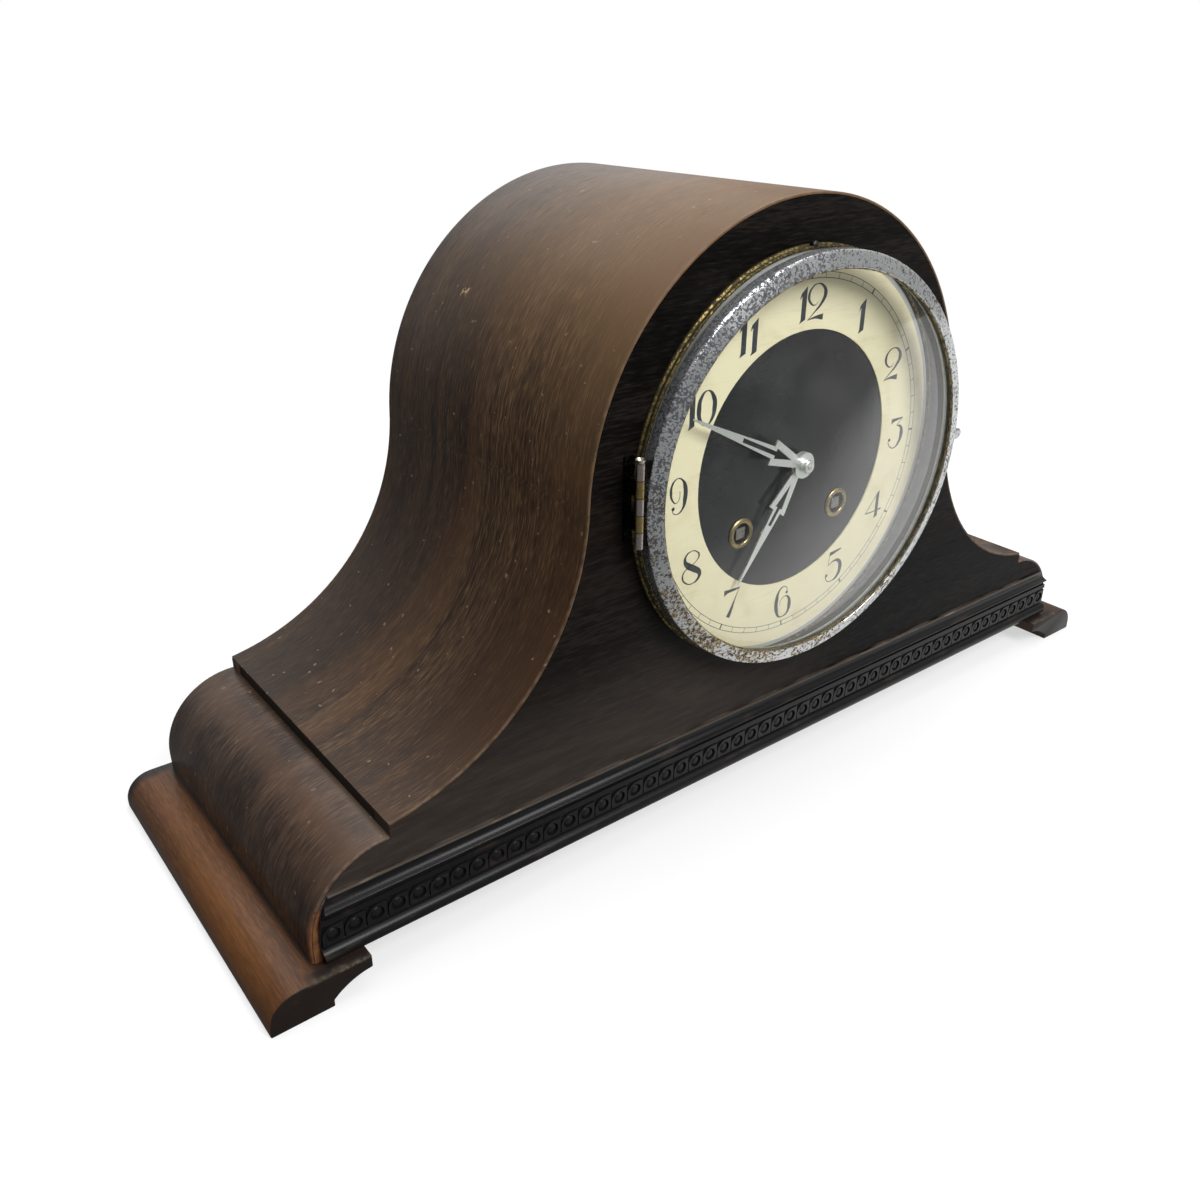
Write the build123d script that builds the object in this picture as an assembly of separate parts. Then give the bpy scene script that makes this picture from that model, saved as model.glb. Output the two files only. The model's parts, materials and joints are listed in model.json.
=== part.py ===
"""Mantel clock: a hat-shaped case with a hinged glazed bezel, a striking movement, a pendulum and gongs."""
import os
from math import acos, asin, atan2, cos, degrees, hypot, pi, radians, sin, sqrt

from build123d import *

# Case: the hat profile, front face at depth 0, depth growing towards the back
HUMP_RADIUS = 95.4
HUMP_CENTRE_Z = 139.3
FLARE_RADIUS = 93.7
FLARE_CENTRE_Z = 147.7
HAT_END_SLOPE = radians(8.4)
HAT_STEP = 4.9
VENEER = 1.0
CASE_DEPTH = 136.3
FRONT_PANEL = 10.0
BACK_PANEL = 8.0
SHOULDER_LEDGE = 1.1
SHOULDER_ROUND_SHARE = 0.82
BLOCK_LAP = 10.2
BOTTOM_BOARD = 9.0
DIAL_RISE = 0.9

# Feet
FOOT_HEIGHT = 13.5
FOOT_OVERHANG = 18.7
FOOT_WIDTH = 36.0
FOOT_FRONT = 7.5
FOOT_BACK = 3.7
FOOT_LIP = 5.0
FOOT_STEP = 2.6
SOLE_WIDTH = 15.0
COVE_RISE = 1.5

# Front moulding, from the bottom bead up
MOULD_BASE = 1.0
MOULD_BEAD = 3.0
MOULD_REED = 2.2
MOULD_BAND = 9.1
MOULD_TORUS = 2.6
MOULD_INSET = 4.5

# Back door and its butt hinges
DOOR_HALF = 62.0
DOOR_SILL_Z = 46.0
DOOR_THICK = 6.0
DOOR_GAP = 0.6
DOOR_KNOB_INSET = 12.0
DOOR_KNOB = 6.0
DOOR_KNOB_STEM = 3.0
DOOR_KNOB_REACH = 9.0
BUTT_LENGTH = 18.0
BUTT_BARREL = 1.5
BUTT_PIN = 0.7
BUTT_LEAF = 8.0
BUTT_LEAF_THICK = 0.8
BUTT_LOW_SHARE = 0.2
BUTT_HIGH_SHARE = 0.85

# Dial, seat ring and winding holes
DIAL_HOLE_MARGIN = 2.5
SEAT_PROUD = 0.2
SEAT_FLANGE_WIDE = 9.6
SEAT_RIDGE = 0.5
SEAT_WALL = 1.0
SEAT_FLANGE = 0.6
SEAT_RISE = 3.0
SEAT_LEVEL_SHARES = (0.33, 0.5, 0.67, 0.83)
DIAL_FIT = 0.2
DIAL_PLATE = 0.8
CHAPTER_INNER_SHARE = 0.642
CHAPTER_MARGIN = 0.2
CHAPTER_THICK = 0.5
DIAL_EYE = 4.0
WIND_X = 26.0
WIND_DROP = 22.2
GROMMET_HOLE = 4.0
GROMMET_TUBE = 0.6
GROMMET_FLANGE = 1.4
GROMMET_RISE = 0.9

# Bezel, its glass and its hinge
BEZEL_RADIUS = 77.4
BEZEL_FACE = 5.9
BEZEL_SIDE = 5.0
BEZEL_CROWN = 1.9
BEZEL_SHEET = 1.0
BEZEL_SEAT_GAP = 0.3
BEZEL_AJAR = 3.1
GLASS_EDGE = 1.9
GLASS_THICK = 2.0
GLASS_SAG = 9.0
GLASS_RING_LIP = 2.4
GLASS_RING_SHEET = 0.8
TAB_REACH = 6.0
TAB_HALF = 2.2
TAB_THICK = 1.2
TAB_DROP = 1.2
HINGE_LENGTH = 30.0
HINGE_KNUCKLE_COUNT = 5
HINGE_BARREL = 1.4
HINGE_PIN = 0.7
HINGE_OFFSET = 3.0
HINGE_SET = 0.3
HINGE_RISE = 3.5
HINGE_LEAF = 0.8
HINGE_TAB = 1.2

# Shared running clearances
RUN = 0.08
KNUCKLE_GAP = 0.3

# Movement plates
PLATE_FRONT = 16.0
PLATE = 1.8
PLATE_GAP = 36.0
PLATE_MARGIN = 5.5
PLATE_HEAD = 6.5
PLATE_CORNER = 5.0
POST_X = 48.5
POST_TOP = 42.5
POST_BOTTOM = 42.5
POST_RADIUS = 4.0
PILLAR_RADIUS = 3.0
PILLAR_TENON = 1.8
NUT_RADIUS = 3.6
NUT_THICK = 3.0
NUT_SIDE_COUNT = 6

# Gear teeth: heights as shares of the module, widths as shares of the pitch
WHEEL_TIP_SHARE = 0.9
WHEEL_ROOT_SHARE = 1.2
WHEEL_WIDE_SHARE = 0.66
WHEEL_NARROW_SHARE = 0.26
LEAF_TIP_SHARE = 0.6
LEAF_ROOT_SHARE = 1.3
LEAF_WIDE_SHARE = 0.50
LEAF_NARROW_SHARE = 0.24
ESCAPE_LEAN_SHARE = 0.22
RATCHET_LEAN_SHARE = 0.12

# Time and strike trains: tooth counts and modules
GREAT_TEETH = 72
GREAT_PINION_TEETH = 12
GREAT_MODULE = 0.6
SECOND_TEETH = 54
SECOND_PINION_TEETH = 9
SECOND_MODULE = 0.55
CENTRE_TEETH = 72
THIRD_PINION_TEETH = 6
CENTRE_MODULE = 0.4
THIRD_TEETH = 66
ESCAPE_PINION_TEETH = 6
THIRD_MODULE = 0.36
ESCAPE_TEETH = 40
ESCAPE_TIP = 10.0
ESCAPE_DEEP = 1.5
LOCK_TEETH = 60
FLY_PINION_TEETH = 6
LOCK_MODULE = 0.4
THIRD_TURN = radians(100)
LOCK_TURN = radians(130)
FLY_TURN = radians(60)
WHEEL_THICK = 1.4
GREAT_THICK = 2.0
PINION_LENGTH = 5.0
ARBOR = 1.0
SLIM_ARBOR = 0.6
PIVOT = 0.45
SHAKE = 0.4
SPOKE_COUNT = 5
SPOKE = 1.4
RIM = 1.6
HUB = 3.0

# Depth of each wheel behind the front plate, as shares of the gap between the plates
GREAT_LEVEL_SHARE = 0.667
SECOND_LEVEL_SHARE = 0.833
CENTRE_LEVEL_SHARE = 0.222
THIRD_LEVEL_SHARE = 0.556
ESCAPE_LEVEL_SHARE = 0.75
LOCK_LEVEL_SHARE = 0.333
FLY_LEVEL_SHARE = 0.528
TAIL_LEVEL_SHARE = 0.917

# Barrels, winding arbors and clicks
BARREL_RADIUS = 18.6
BARREL_WALL = 1.2
BARREL_LEVEL = 4.0
SPRING_INNER = 7.0
SPRING_SLACK = 0.4
BARREL_CORE = 6.0
WIND_ARBOR = 3.0
WIND_SQUARE = 4.4
RATCHET_TEETH = 24
RATCHET_TIP = 8.5
RATCHET_DEEP = 1.3
RATCHET_THICK = 2.0
RATCHET_GAP = 0.6
CLICK_X = 12.0
CLICK_Z = 12.0
CLICK_BOSS = 2.4
CLICK_POST = 1.0
CLICK_WIDE = 1.6
CLICK_TIP_GAP = 0.3

# Strike: lifting pins, fly and hammers
PIN_WHEEL_CLEAR = 2.0
PIN_COUNT = 8
PIN_CIRCLE = 12.0
PIN_RADIUS = 0.6
PIN_LENGTH = 2.6
FLY_HALF = 7.0
FLY_LENGTH = 10.0
FLY_THICK = 0.6
HAMMER_X = 50.0
HAMMER_DROP = 30.0
HAMMER_ARBOR = 1.2
TAIL_WIDE = 2.4
TAIL_CLEAR = 1.6
ARM_WIDE = 2.4
ARM_THICK = 1.6
HEAD_RADIUS = 3.6
HEAD_LENGTH = 9.0
HEAD_GAP = 1.2

# Rod gongs on their iron block
GONG_COUNT = 3
GONG_CLEAR = 6.0
GONG_FIRST = 21.0
GONG_PITCH = 10.0
GONG_ROD = 1.8
GONG_FROM_END = 47.2
GONG_LONGER = 20.0
GONG_SOCKET = 8.0
BLOCK_FROM_END = 63.2
BLOCK_LONG = 20.0
BLOCK_MARGIN = 7.0
BLOCK_OVER = 8.0
HEAD_FROM_BLOCK = 13.0

# Escapement anchor and pendulum
ANCHOR_RISE = 15.0
ANCHOR_CLEAR = 1.1
ANCHOR_STRIP = 1.8
ANCHOR_SPAN = radians(52)
ANCHOR_HUB = 2.6
ANCHOR_THICK = 3.0
CRUTCH_COLLET = 2.2
CRUTCH_FRONT = 0.8
CRUTCH_LONG = 2.8
CRUTCH_WIRE = 0.8
CRUTCH_REACH = 26.0
FORK_HALF = 3.0
FORK_THICK = 1.6
FORK_LIP = 0.4
FORK_CLEAR = 0.35
COCK_HALF = 11.0
COCK_FOOT = 2.0
COCK_STAND = 4.4
COCK_PLATE = 1.5
COCK_RISE = 4.0
STUD = 1.2
STUD_LONG = 5.3
STUD_HEAD = 2.2
STUD_CAP = 1.0
PENDULUM_REAR = 8.6
PENDULUM_LENGTH = 115.5
EYE_RADIUS = 2.8
EYE_THICK = 4.5
PENDULUM_ROD = 1.1
BOB_RADIUS = 17.0
BOB_EDGE = 3.0
BOB_BELLY = 5.0
BOB_BOSS = 3.0
RATING_RADIUS = 4.0
RATING_HEIGHT = 4.0
RATING_GAP = 0.3
ROD_TAIL = 1.5

# Motion work behind the dial, and the hands
CANNON_TEETH = 12
MINUTE_TEETH = 36
MINUTE_MODULE = 0.5
MINUTE_PINION_TEETH = 12
HOUR_TEETH = 48
HOUR_MODULE = 0.4
MOTION_BACK = 2.5
MOTION_GAP = 2.6
CENTRE_FRONT = 1.3
CANNON_PIPE = 1.95
HOUR_WALL = 0.85
MOTION_POST = 1.2
HAND_THICK = 0.6
HOUR_HAND_REACH = 3.0
MINUTE_HAND_REACH = 4.7
HAND_BOSS = 4.95
HOUR_HAND_SHORT = 25.4
MINUTE_HAND_SHORT = 13.4
HOUR_TURN = radians(-125.0)
MINUTE_TURN = radians(-206.2)
HAND_BARB = 19.6
HAND_BARB_HALF = 4.8
HAND_BAR_HALF = 2.3
HAND_ROOT_HALF = 1.2
HAND_TIP_HALF = 0.35
SLOT_TIP = 8.3
SLOT_STEP = 18.1
SLOT_WIDE_HALF = 2.0
SLOT_HALF = 0.8
HOUR_SLOT = 25.5
MINUTE_SLOT = 37.0
NUT_FRONT = 2.6
NUT_BODY = 2.6
NUT_PIP = 1.1
NUT_PIP_RISE = 0.4

# Derived places in the case
FLARE_X = sqrt((HUMP_RADIUS + FLARE_RADIUS) ** 2 - (FLARE_CENTRE_Z - HUMP_CENTRE_Z) ** 2)
HAT_HALF = FLARE_X - FLARE_RADIUS * sin(HAT_END_SLOPE)
SHOULDER_TOP = FLARE_CENTRE_Z - FLARE_RADIUS * cos(HAT_END_SLOPE) - HAT_STEP
BLOCK_TOP = SHOULDER_TOP - VENEER
WRAP_BACK = hypot(FLARE_X - HAT_HALF, FLARE_CENTRE_Z - BLOCK_TOP) - FLARE_RADIUS
SHOULDER_RADIUS = SHOULDER_ROUND_SHARE * (SHOULDER_TOP - FOOT_HEIGHT)
SHOULDER_HALF = HAT_HALF + SHOULDER_LEDGE + SHOULDER_RADIUS
FOOT_HALF = SHOULDER_HALF + FOOT_OVERHANG
BACK_INSIDE = CASE_DEPTH - BACK_PANEL
BLOCK_INNER = HAT_HALF - BLOCK_LAP
DIAL_Z = HUMP_CENTRE_Z + DIAL_RISE
BOARD_TOP = FOOT_HEIGHT + BOTTOM_BOARD
BLOCK_RIGHT = HAT_HALF - BLOCK_FROM_END
GONG_END = HAT_HALF - GONG_FROM_END

# Derived dial, seat and bezel radii
SEAT_RADIUS = BEZEL_RADIUS + SEAT_PROUD
SEAT_INNER = SEAT_RADIUS - SEAT_FLANGE_WIDE
BEZEL_SIGHT = BEZEL_RADIUS - BEZEL_FACE
DIAL_RADIUS = SEAT_RADIUS - SEAT_WALL - DIAL_FIT
CHAPTER_OUTER = DIAL_RADIUS - CHAPTER_MARGIN
CHAPTER_INNER = CHAPTER_INNER_SHARE * CHAPTER_OUTER
HOUR_HAND = DIAL_RADIUS - HOUR_HAND_SHORT
MINUTE_HAND = DIAL_RADIUS - MINUTE_HAND_SHORT
DIAL_HOLE = hypot(POST_X, min(POST_TOP, POST_BOTTOM)) - POST_RADIUS - DIAL_HOLE_MARGIN

# Derived depths in the movement
GREAT_LEVEL = GREAT_LEVEL_SHARE * PLATE_GAP
SECOND_LEVEL = SECOND_LEVEL_SHARE * PLATE_GAP
CENTRE_LEVEL = CENTRE_LEVEL_SHARE * PLATE_GAP
THIRD_LEVEL = THIRD_LEVEL_SHARE * PLATE_GAP
ESCAPE_LEVEL = ESCAPE_LEVEL_SHARE * PLATE_GAP
LOCK_LEVEL = LOCK_LEVEL_SHARE * PLATE_GAP
FLY_LEVEL = FLY_LEVEL_SHARE * PLATE_GAP
TAIL_LEVEL = TAIL_LEVEL_SHARE * PLATE_GAP
PLATE_HALF = POST_X + PLATE_MARGIN
PLATE_TOP = POST_TOP + PLATE_HEAD
PLATE_BOTTOM = POST_BOTTOM + PLATE_MARGIN
FRONT_IN = PLATE_FRONT + PLATE
BACK_IN = FRONT_IN + PLATE_GAP
BACK_OUT = BACK_IN + PLATE
PENDULUM_Y = BACK_OUT + PENDULUM_REAR
DIAL_BACK = -SEAT_FLANGE
DIAL_FRONT = DIAL_BACK - DIAL_PLATE
CHAPTER_FRONT = DIAL_FRONT - CHAPTER_THICK
BEZEL_BACK = -SEAT_RISE - BEZEL_SEAT_GAP
BEZEL_EDGE = BEZEL_BACK - BEZEL_SIDE
HINGE_X = -BEZEL_RADIUS - HINGE_OFFSET
HINGE_DEPTH = -BEZEL_EDGE - HINGE_SET
HINGE_Z = DIAL_Z + HINGE_RISE


def polar(centre, radius, angle):
    """Point at a radius and an angle from a centre, both in X and Z."""
    return (centre[0] + radius * cos(angle), centre[1] + radius * sin(angle))


def spacing(teeth, leaves, module):
    """Distance between the arbors of a wheel and the pinion it meshes with."""
    return (teeth + leaves) * module / 2


def apex(first, second, from_first, from_second):
    """Point at given distances from two others, on the left of the line between them."""
    across = (second[0] - first[0], second[1] - first[1])
    span = hypot(*across)
    along = (from_first ** 2 - from_second ** 2 + span ** 2) / (2 * span)
    aside = sqrt(from_first ** 2 - along ** 2)
    unit = (across[0] / span, across[1] / span)
    return (first[0] + along * unit[0] - aside * unit[1], first[1] + along * unit[1] + aside * unit[0])


def heading(start, end):
    """Angle of the line from one point to another."""
    return atan2(end[1] - start[1], end[0] - start[0])


# Arbor places in X and Z
CENTRE = (0, DIAL_Z)
TIME_BARREL = (WIND_X, DIAL_Z - WIND_DROP)
STRIKE_BARREL = (-WIND_X, DIAL_Z - WIND_DROP)
GREAT_SPACING = spacing(GREAT_TEETH, GREAT_PINION_TEETH, GREAT_MODULE)
SECOND_SPACING = spacing(SECOND_TEETH, SECOND_PINION_TEETH, SECOND_MODULE)
SECOND = apex(CENTRE, TIME_BARREL, SECOND_SPACING, GREAT_SPACING)
PIN_MIRROR = apex(CENTRE, TIME_BARREL, SECOND_SPACING + PIN_WHEEL_CLEAR, GREAT_SPACING)
PIN_WHEEL = (-PIN_MIRROR[0], PIN_MIRROR[1])
THIRD = polar(CENTRE, spacing(CENTRE_TEETH, THIRD_PINION_TEETH, CENTRE_MODULE), THIRD_TURN)
ESCAPE = (0, THIRD[1] + sqrt(spacing(THIRD_TEETH, ESCAPE_PINION_TEETH, THIRD_MODULE) ** 2 - THIRD[0] ** 2))
ANCHOR = (0, ESCAPE[1] + ANCHOR_RISE)
LOCK = polar(PIN_WHEEL, SECOND_SPACING, LOCK_TURN)
FLY = polar(LOCK, spacing(LOCK_TEETH, FLY_PINION_TEETH, LOCK_MODULE), FLY_TURN)
HAMMER = (-HAMMER_X, DIAL_Z - HAMMER_DROP)
MINUTE_ARBOR = (0, DIAL_Z + spacing(MINUTE_TEETH, CANNON_TEETH, MINUTE_MODULE))
POSTS = [
    (side * POST_X, DIAL_Z + height)
    for side in (-1, 1)
    for height in (POST_TOP, -POST_BOTTOM)
]
GONG_DEPTHS = [BACK_OUT + GONG_FIRST + index * GONG_PITCH for index in range(GONG_COUNT)]


def under_hat(x):
    """Height of the underside of the bent wrap at a distance from the middle, within its flare."""
    return FLARE_CENTRE_Z - sqrt((FLARE_RADIUS + WRAP_BACK) ** 2 - (FLARE_X - x) ** 2)


GONG_Z = under_hat(BLOCK_RIGHT + BLOCK_LONG) - GONG_CLEAR - BLOCK_OVER


def slab(face, front, back):
    """Solid with the outline of a face drawn in X and Z, between two depths."""
    return extrude(Plane.XZ.offset(-back) * face, amount=back - front)


def rod(place, radius, front, back):
    """Round bar along the depth."""
    return slab(Pos(*place) * Circle(radius), front, back)


def turned(points, place):
    """Solid turned about the depth axis through a place, from points of radius and depth."""
    return Pos(place[0], 0, place[1]) * revolve(make_face(Polyline(*points, close=True)), axis=Axis.Y)


def block(low, high):
    """Box between two opposite corners."""
    size = [high[axis] - low[axis] for axis in range(3)]
    middle = [(high[axis] + low[axis]) / 2 for axis in range(3)]
    return Pos(*middle) * Box(*size)


def upright(x, y, low, high, radius):
    """Round bar along Z."""
    return Pos(x, y, (low + high) / 2) * Cylinder(radius, high - low)


def bar(start, end, width):
    """Straight strip between two points, as a face."""
    turn = heading(start, end)
    side = (-sin(turn) * width / 2, cos(turn) * width / 2)
    corners = [
        (start[0] + side[0], start[1] + side[1]),
        (end[0] + side[0], end[1] + side[1]),
        (end[0] - side[0], end[1] - side[1]),
        (start[0] - side[0], start[1] - side[1]),
    ]
    return make_face(Polyline(*corners, close=True))


def hat_line(inset):
    """Edges of the hat profile from its left end to its right end, and the right end point."""
    hump_radius = HUMP_RADIUS - inset
    flare_radius = FLARE_RADIUS + inset
    hump = (0, HUMP_CENTRE_Z)
    flare = (FLARE_X, FLARE_CENTRE_Z)
    lean = heading(hump, flare)
    join = polar(hump, hump_radius, lean)
    join_angle = lean - pi
    end_angle = -acos((HAT_HALF - FLARE_X) / flare_radius)
    middle = polar(flare, flare_radius, (join_angle + end_angle) / 2)
    end = polar(flare, flare_radius, end_angle)
    top = (0, HUMP_CENTRE_Z + hump_radius)
    edges = [
        ThreePointArc((-end[0], end[1]), (-middle[0], middle[1]), (-join[0], join[1])),
        ThreePointArc((-join[0], join[1]), top, join),
        ThreePointArc(join, middle, end),
    ]
    return edges, end


def hat_band(outer, inner):
    """Face between two insets of the hat profile."""
    outer_edges, outer_end = hat_line(outer)
    inner_edges, inner_end = hat_line(inner)
    ends = [
        Line(outer_end, inner_end),
        Line((-outer_end[0], outer_end[1]), (-inner_end[0], inner_end[1])),
    ]
    return make_face(outer_edges + inner_edges + ends)


def shoulder_line(inset, side):
    """Edges of one shoulder from under the hat's end down to the foot, with its top and bottom points."""
    bend = (HAT_HALF + SHOULDER_LEDGE, SHOULDER_TOP - SHOULDER_RADIUS)
    radius = SHOULDER_RADIUS - inset
    middle = polar(bend, radius, pi / 4)
    top = (side * HAT_HALF, SHOULDER_TOP - inset)
    start = (side * bend[0], SHOULDER_TOP - inset)
    stop = (side * (bend[0] + radius), bend[1])
    foot = (stop[0], FOOT_HEIGHT)
    edges = [Line(top, start), ThreePointArc(start, (side * middle[0], middle[1]), stop), Line(stop, foot)]
    return edges, top, foot


def case_outline():
    """Face of the front and back panels, inside the veneer."""
    hat_edges, hat_end = hat_line(VENEER)
    right_edges, right_top, right_foot = shoulder_line(VENEER, 1)
    left_edges, left_top, left_foot = shoulder_line(VENEER, -1)
    joins = [
        Line(hat_end, right_top),
        Line((-hat_end[0], hat_end[1]), left_top),
        Line(left_foot, right_foot),
    ]
    return make_face(hat_edges + right_edges + left_edges + joins)


def shoulder_block(side):
    """Solid block under one end of the hat."""
    edges, top, foot = shoulder_line(VENEER, side)
    middle_x = (BLOCK_INNER + HAT_HALF) / 2
    inner_top = (side * BLOCK_INNER, under_hat(BLOCK_INNER))
    inner_foot = (side * BLOCK_INNER, FOOT_HEIGHT)
    edges += [
        ThreePointArc(top, (side * middle_x, under_hat(middle_x)), inner_top),
        Line(inner_top, inner_foot),
        Line(inner_foot, foot),
    ]
    return slab(make_face(edges), FRONT_PANEL, BACK_INSIDE)


def shoulder_veneer(side):
    """Thin skin over one shoulder, from the hat's end to the foot."""
    outer, outer_top, outer_foot = shoulder_line(0, side)
    inner, inner_top, inner_foot = shoulder_line(VENEER, side)
    ends = [Line(outer_top, inner_top), Line(outer_foot, inner_foot)]
    return slab(make_face(outer + inner + ends), 0, CASE_DEPTH)


def foot_rail(side):
    """Foot running the depth of the case, with a round nose outside and a cove inside."""
    nose = FOOT_HEIGHT / 2
    nose_x = FOOT_HALF - nose
    inner_x = FOOT_HALF - FOOT_WIDTH
    sole_x = nose_x - SOLE_WIDTH
    lip_z = FOOT_HEIGHT - FOOT_LIP
    cove = ((inner_x + sole_x) / 2, (lip_z + FOOT_STEP) / 2 + COVE_RISE)

    def at(x, z):
        return (side * x, z)

    edges = [
        Line(at(nose_x, FOOT_HEIGHT), at(inner_x, FOOT_HEIGHT)),
        Line(at(inner_x, FOOT_HEIGHT), at(inner_x, lip_z)),
        ThreePointArc(at(inner_x, lip_z), at(*cove), at(sole_x, FOOT_STEP)),
        Line(at(sole_x, FOOT_STEP), at(sole_x, 0)),
        Line(at(sole_x, 0), at(nose_x, 0)),
        ThreePointArc(at(nose_x, 0), at(FOOT_HALF, nose), at(nose_x, FOOT_HEIGHT)),
    ]
    return slab(make_face(edges), -FOOT_FRONT, CASE_DEPTH + FOOT_BACK)


def front_moulding():
    """Base moulding on the front panel: bead, reed, flat band and torus, its ends cut to the shoulders."""
    bead_top = FOOT_HEIGHT + 2 * MOULD_BEAD
    reed_top = bead_top + 2 * MOULD_REED
    band_top = reed_top + MOULD_BAND
    torus_top = band_top + 2 * MOULD_TORUS
    back = -MOULD_BASE
    edges = [
        Line((0, FOOT_HEIGHT), (back, FOOT_HEIGHT)),
        ThreePointArc((back, FOOT_HEIGHT), (back - MOULD_BEAD, FOOT_HEIGHT + MOULD_BEAD), (back, bead_top)),
        ThreePointArc((back, bead_top), (back - MOULD_REED, bead_top + MOULD_REED), (back, reed_top)),
        Line((back, reed_top), (back, band_top)),
        ThreePointArc((back, band_top), (back - MOULD_TORUS, band_top + MOULD_TORUS), (back, torus_top)),
        Line((back, torus_top), (0, torus_top)),
        Line((0, torus_top), (0, FOOT_HEIGHT)),
    ]
    length = 2 * SHOULDER_HALF
    strip = extrude(Plane.YZ.offset(-SHOULDER_HALF) * make_face(edges), amount=length)
    right_edges, right_top, right_foot = shoulder_line(MOULD_INSET, 1)
    left_edges, left_top, left_foot = shoulder_line(MOULD_INSET, -1)
    closing = [Line(left_top, right_top), Line(left_foot, right_foot)]
    reach = MOULD_BASE + MOULD_BEAD + MOULD_TORUS
    return strip & slab(make_face(right_edges + left_edges + closing), -reach, 0)


def door_face(gap):
    """Round-headed outline of the back door, drawn in by a gap all round."""
    half = DOOR_HALF - gap
    sill = DOOR_SILL_Z + gap
    edges = [
        Line((-half, HUMP_CENTRE_Z), (-half, sill)),
        Line((-half, sill), (half, sill)),
        Line((half, sill), (half, HUMP_CENTRE_Z)),
        ThreePointArc((half, HUMP_CENTRE_Z), (0, HUMP_CENTRE_Z + half), (-half, HUMP_CENTRE_Z)),
    ]
    return make_face(edges)


def butt_leaf(centre_z, side, knuckles):
    """One leaf of a back-door hinge with its knuckles: side -1 on the panel, 1 on the door."""
    axis_y = CASE_DEPTH + BUTT_BARREL
    low = centre_z - BUTT_LENGTH / 2
    step = BUTT_LENGTH / 3
    inner = BUTT_BARREL + KNUCKLE_GAP
    reach = BUTT_BARREL + BUTT_LEAF
    near, far = sorted((side * inner, side * reach))
    leaf = block(
        (near - DOOR_HALF, CASE_DEPTH, low),
        (far - DOOR_HALF, CASE_DEPTH + BUTT_LEAF_THICK, low + BUTT_LENGTH),
    )
    for knuckle in knuckles:
        bottom = low + knuckle * step + KNUCKLE_GAP / 2
        top = low + (knuckle + 1) * step - KNUCKLE_GAP / 2
        near, far = sorted((0, side * inner))
        leaf += upright(-DOOR_HALF, axis_y, bottom, top, BUTT_BARREL)
        leaf += block(
            (near - DOOR_HALF, CASE_DEPTH, bottom),
            (far - DOOR_HALF, CASE_DEPTH + BUTT_LEAF_THICK, top),
        )
    bore = BUTT_PIN if side < 0 else BUTT_PIN + RUN
    return leaf - upright(-DOOR_HALF, axis_y, low, low + BUTT_LENGTH, bore)


def butt_heights():
    """Middle heights of the two back-door hinges."""
    run = HUMP_CENTRE_Z - DOOR_SILL_Z
    return [DOOR_SILL_Z + share * run for share in (BUTT_LOW_SHARE, BUTT_HIGH_SHARE)]


def seat_ring():
    """Ridged brass ring that carries the dial and that the bezel closes on."""
    groove = SEAT_RADIUS - SEAT_RIDGE / 2
    ridge = SEAT_RADIUS + SEAT_RIDGE
    wall = SEAT_RADIUS - SEAT_WALL
    ridge_top, dip, band, shoulder = [-share * SEAT_RISE for share in SEAT_LEVEL_SHARES]
    points = [
        (SEAT_INNER, 0),
        (ridge, 0),
        (ridge, ridge_top),
        (groove, dip),
        (SEAT_RADIUS, band),
        (SEAT_RADIUS, shoulder),
        (groove, -SEAT_RISE),
        (wall, -SEAT_RISE),
        (wall, -SEAT_FLANGE),
        (SEAT_INNER, -SEAT_FLANGE),
    ]
    return turned(points, CENTRE)


def grommet(place):
    """Brass eyelet round one winding hole."""
    tube = GROMMET_HOLE + GROMMET_TUBE
    flange = tube + GROMMET_FLANGE
    lip = DIAL_FRONT - GROMMET_RISE
    points = [
        (GROMMET_HOLE, DIAL_BACK),
        (tube, DIAL_BACK),
        (tube, DIAL_FRONT),
        (flange, DIAL_FRONT),
        (flange, (DIAL_FRONT + lip) / 2),
        (tube, lip),
        (GROMMET_HOLE, lip),
    ]
    return turned(points, place)


def bezel_rim():
    """Pressed bezel: a side wall and a sloping face, with a pull tab on the right."""
    crest = BEZEL_EDGE - BEZEL_CROWN
    inside = BEZEL_RADIUS - BEZEL_SHEET
    points = [
        (inside, BEZEL_BACK),
        (BEZEL_RADIUS, BEZEL_BACK),
        (BEZEL_RADIUS, BEZEL_EDGE),
        (BEZEL_SIGHT, crest),
        (BEZEL_SIGHT, crest + BEZEL_SHEET),
        (inside, BEZEL_EDGE + BEZEL_SHEET),
    ]
    tab_z = DIAL_Z - TAB_DROP
    tab_y = (BEZEL_BACK + BEZEL_EDGE) / 2
    tab = block(
        (inside, tab_y - TAB_THICK / 2, tab_z - TAB_HALF),
        (BEZEL_RADIUS + TAB_REACH - TAB_HALF, tab_y + TAB_THICK / 2, tab_z + TAB_HALF),
    )
    tip = (BEZEL_RADIUS + TAB_REACH - TAB_HALF, tab_z)
    tab += rod(tip, TAB_HALF, tab_y - TAB_THICK / 2, tab_y + TAB_THICK / 2)
    outside = turned([(0, BEZEL_BACK), (inside, BEZEL_BACK), (inside, BEZEL_EDGE), (0, BEZEL_EDGE)], CENTRE)
    return turned(points, CENTRE) + (tab - outside)


def glass_values():
    """Edge radius of the glass, depth of its front edge and radius of its curve."""
    edge = BEZEL_RADIUS - BEZEL_SHEET - GLASS_EDGE
    run = BEZEL_RADIUS - BEZEL_SHEET - BEZEL_SIGHT
    front = BEZEL_EDGE + BEZEL_SHEET - BEZEL_CROWN * GLASS_EDGE / run
    curve = (edge ** 2 + GLASS_SAG ** 2) / (2 * GLASS_SAG)
    return edge, front, curve


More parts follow.
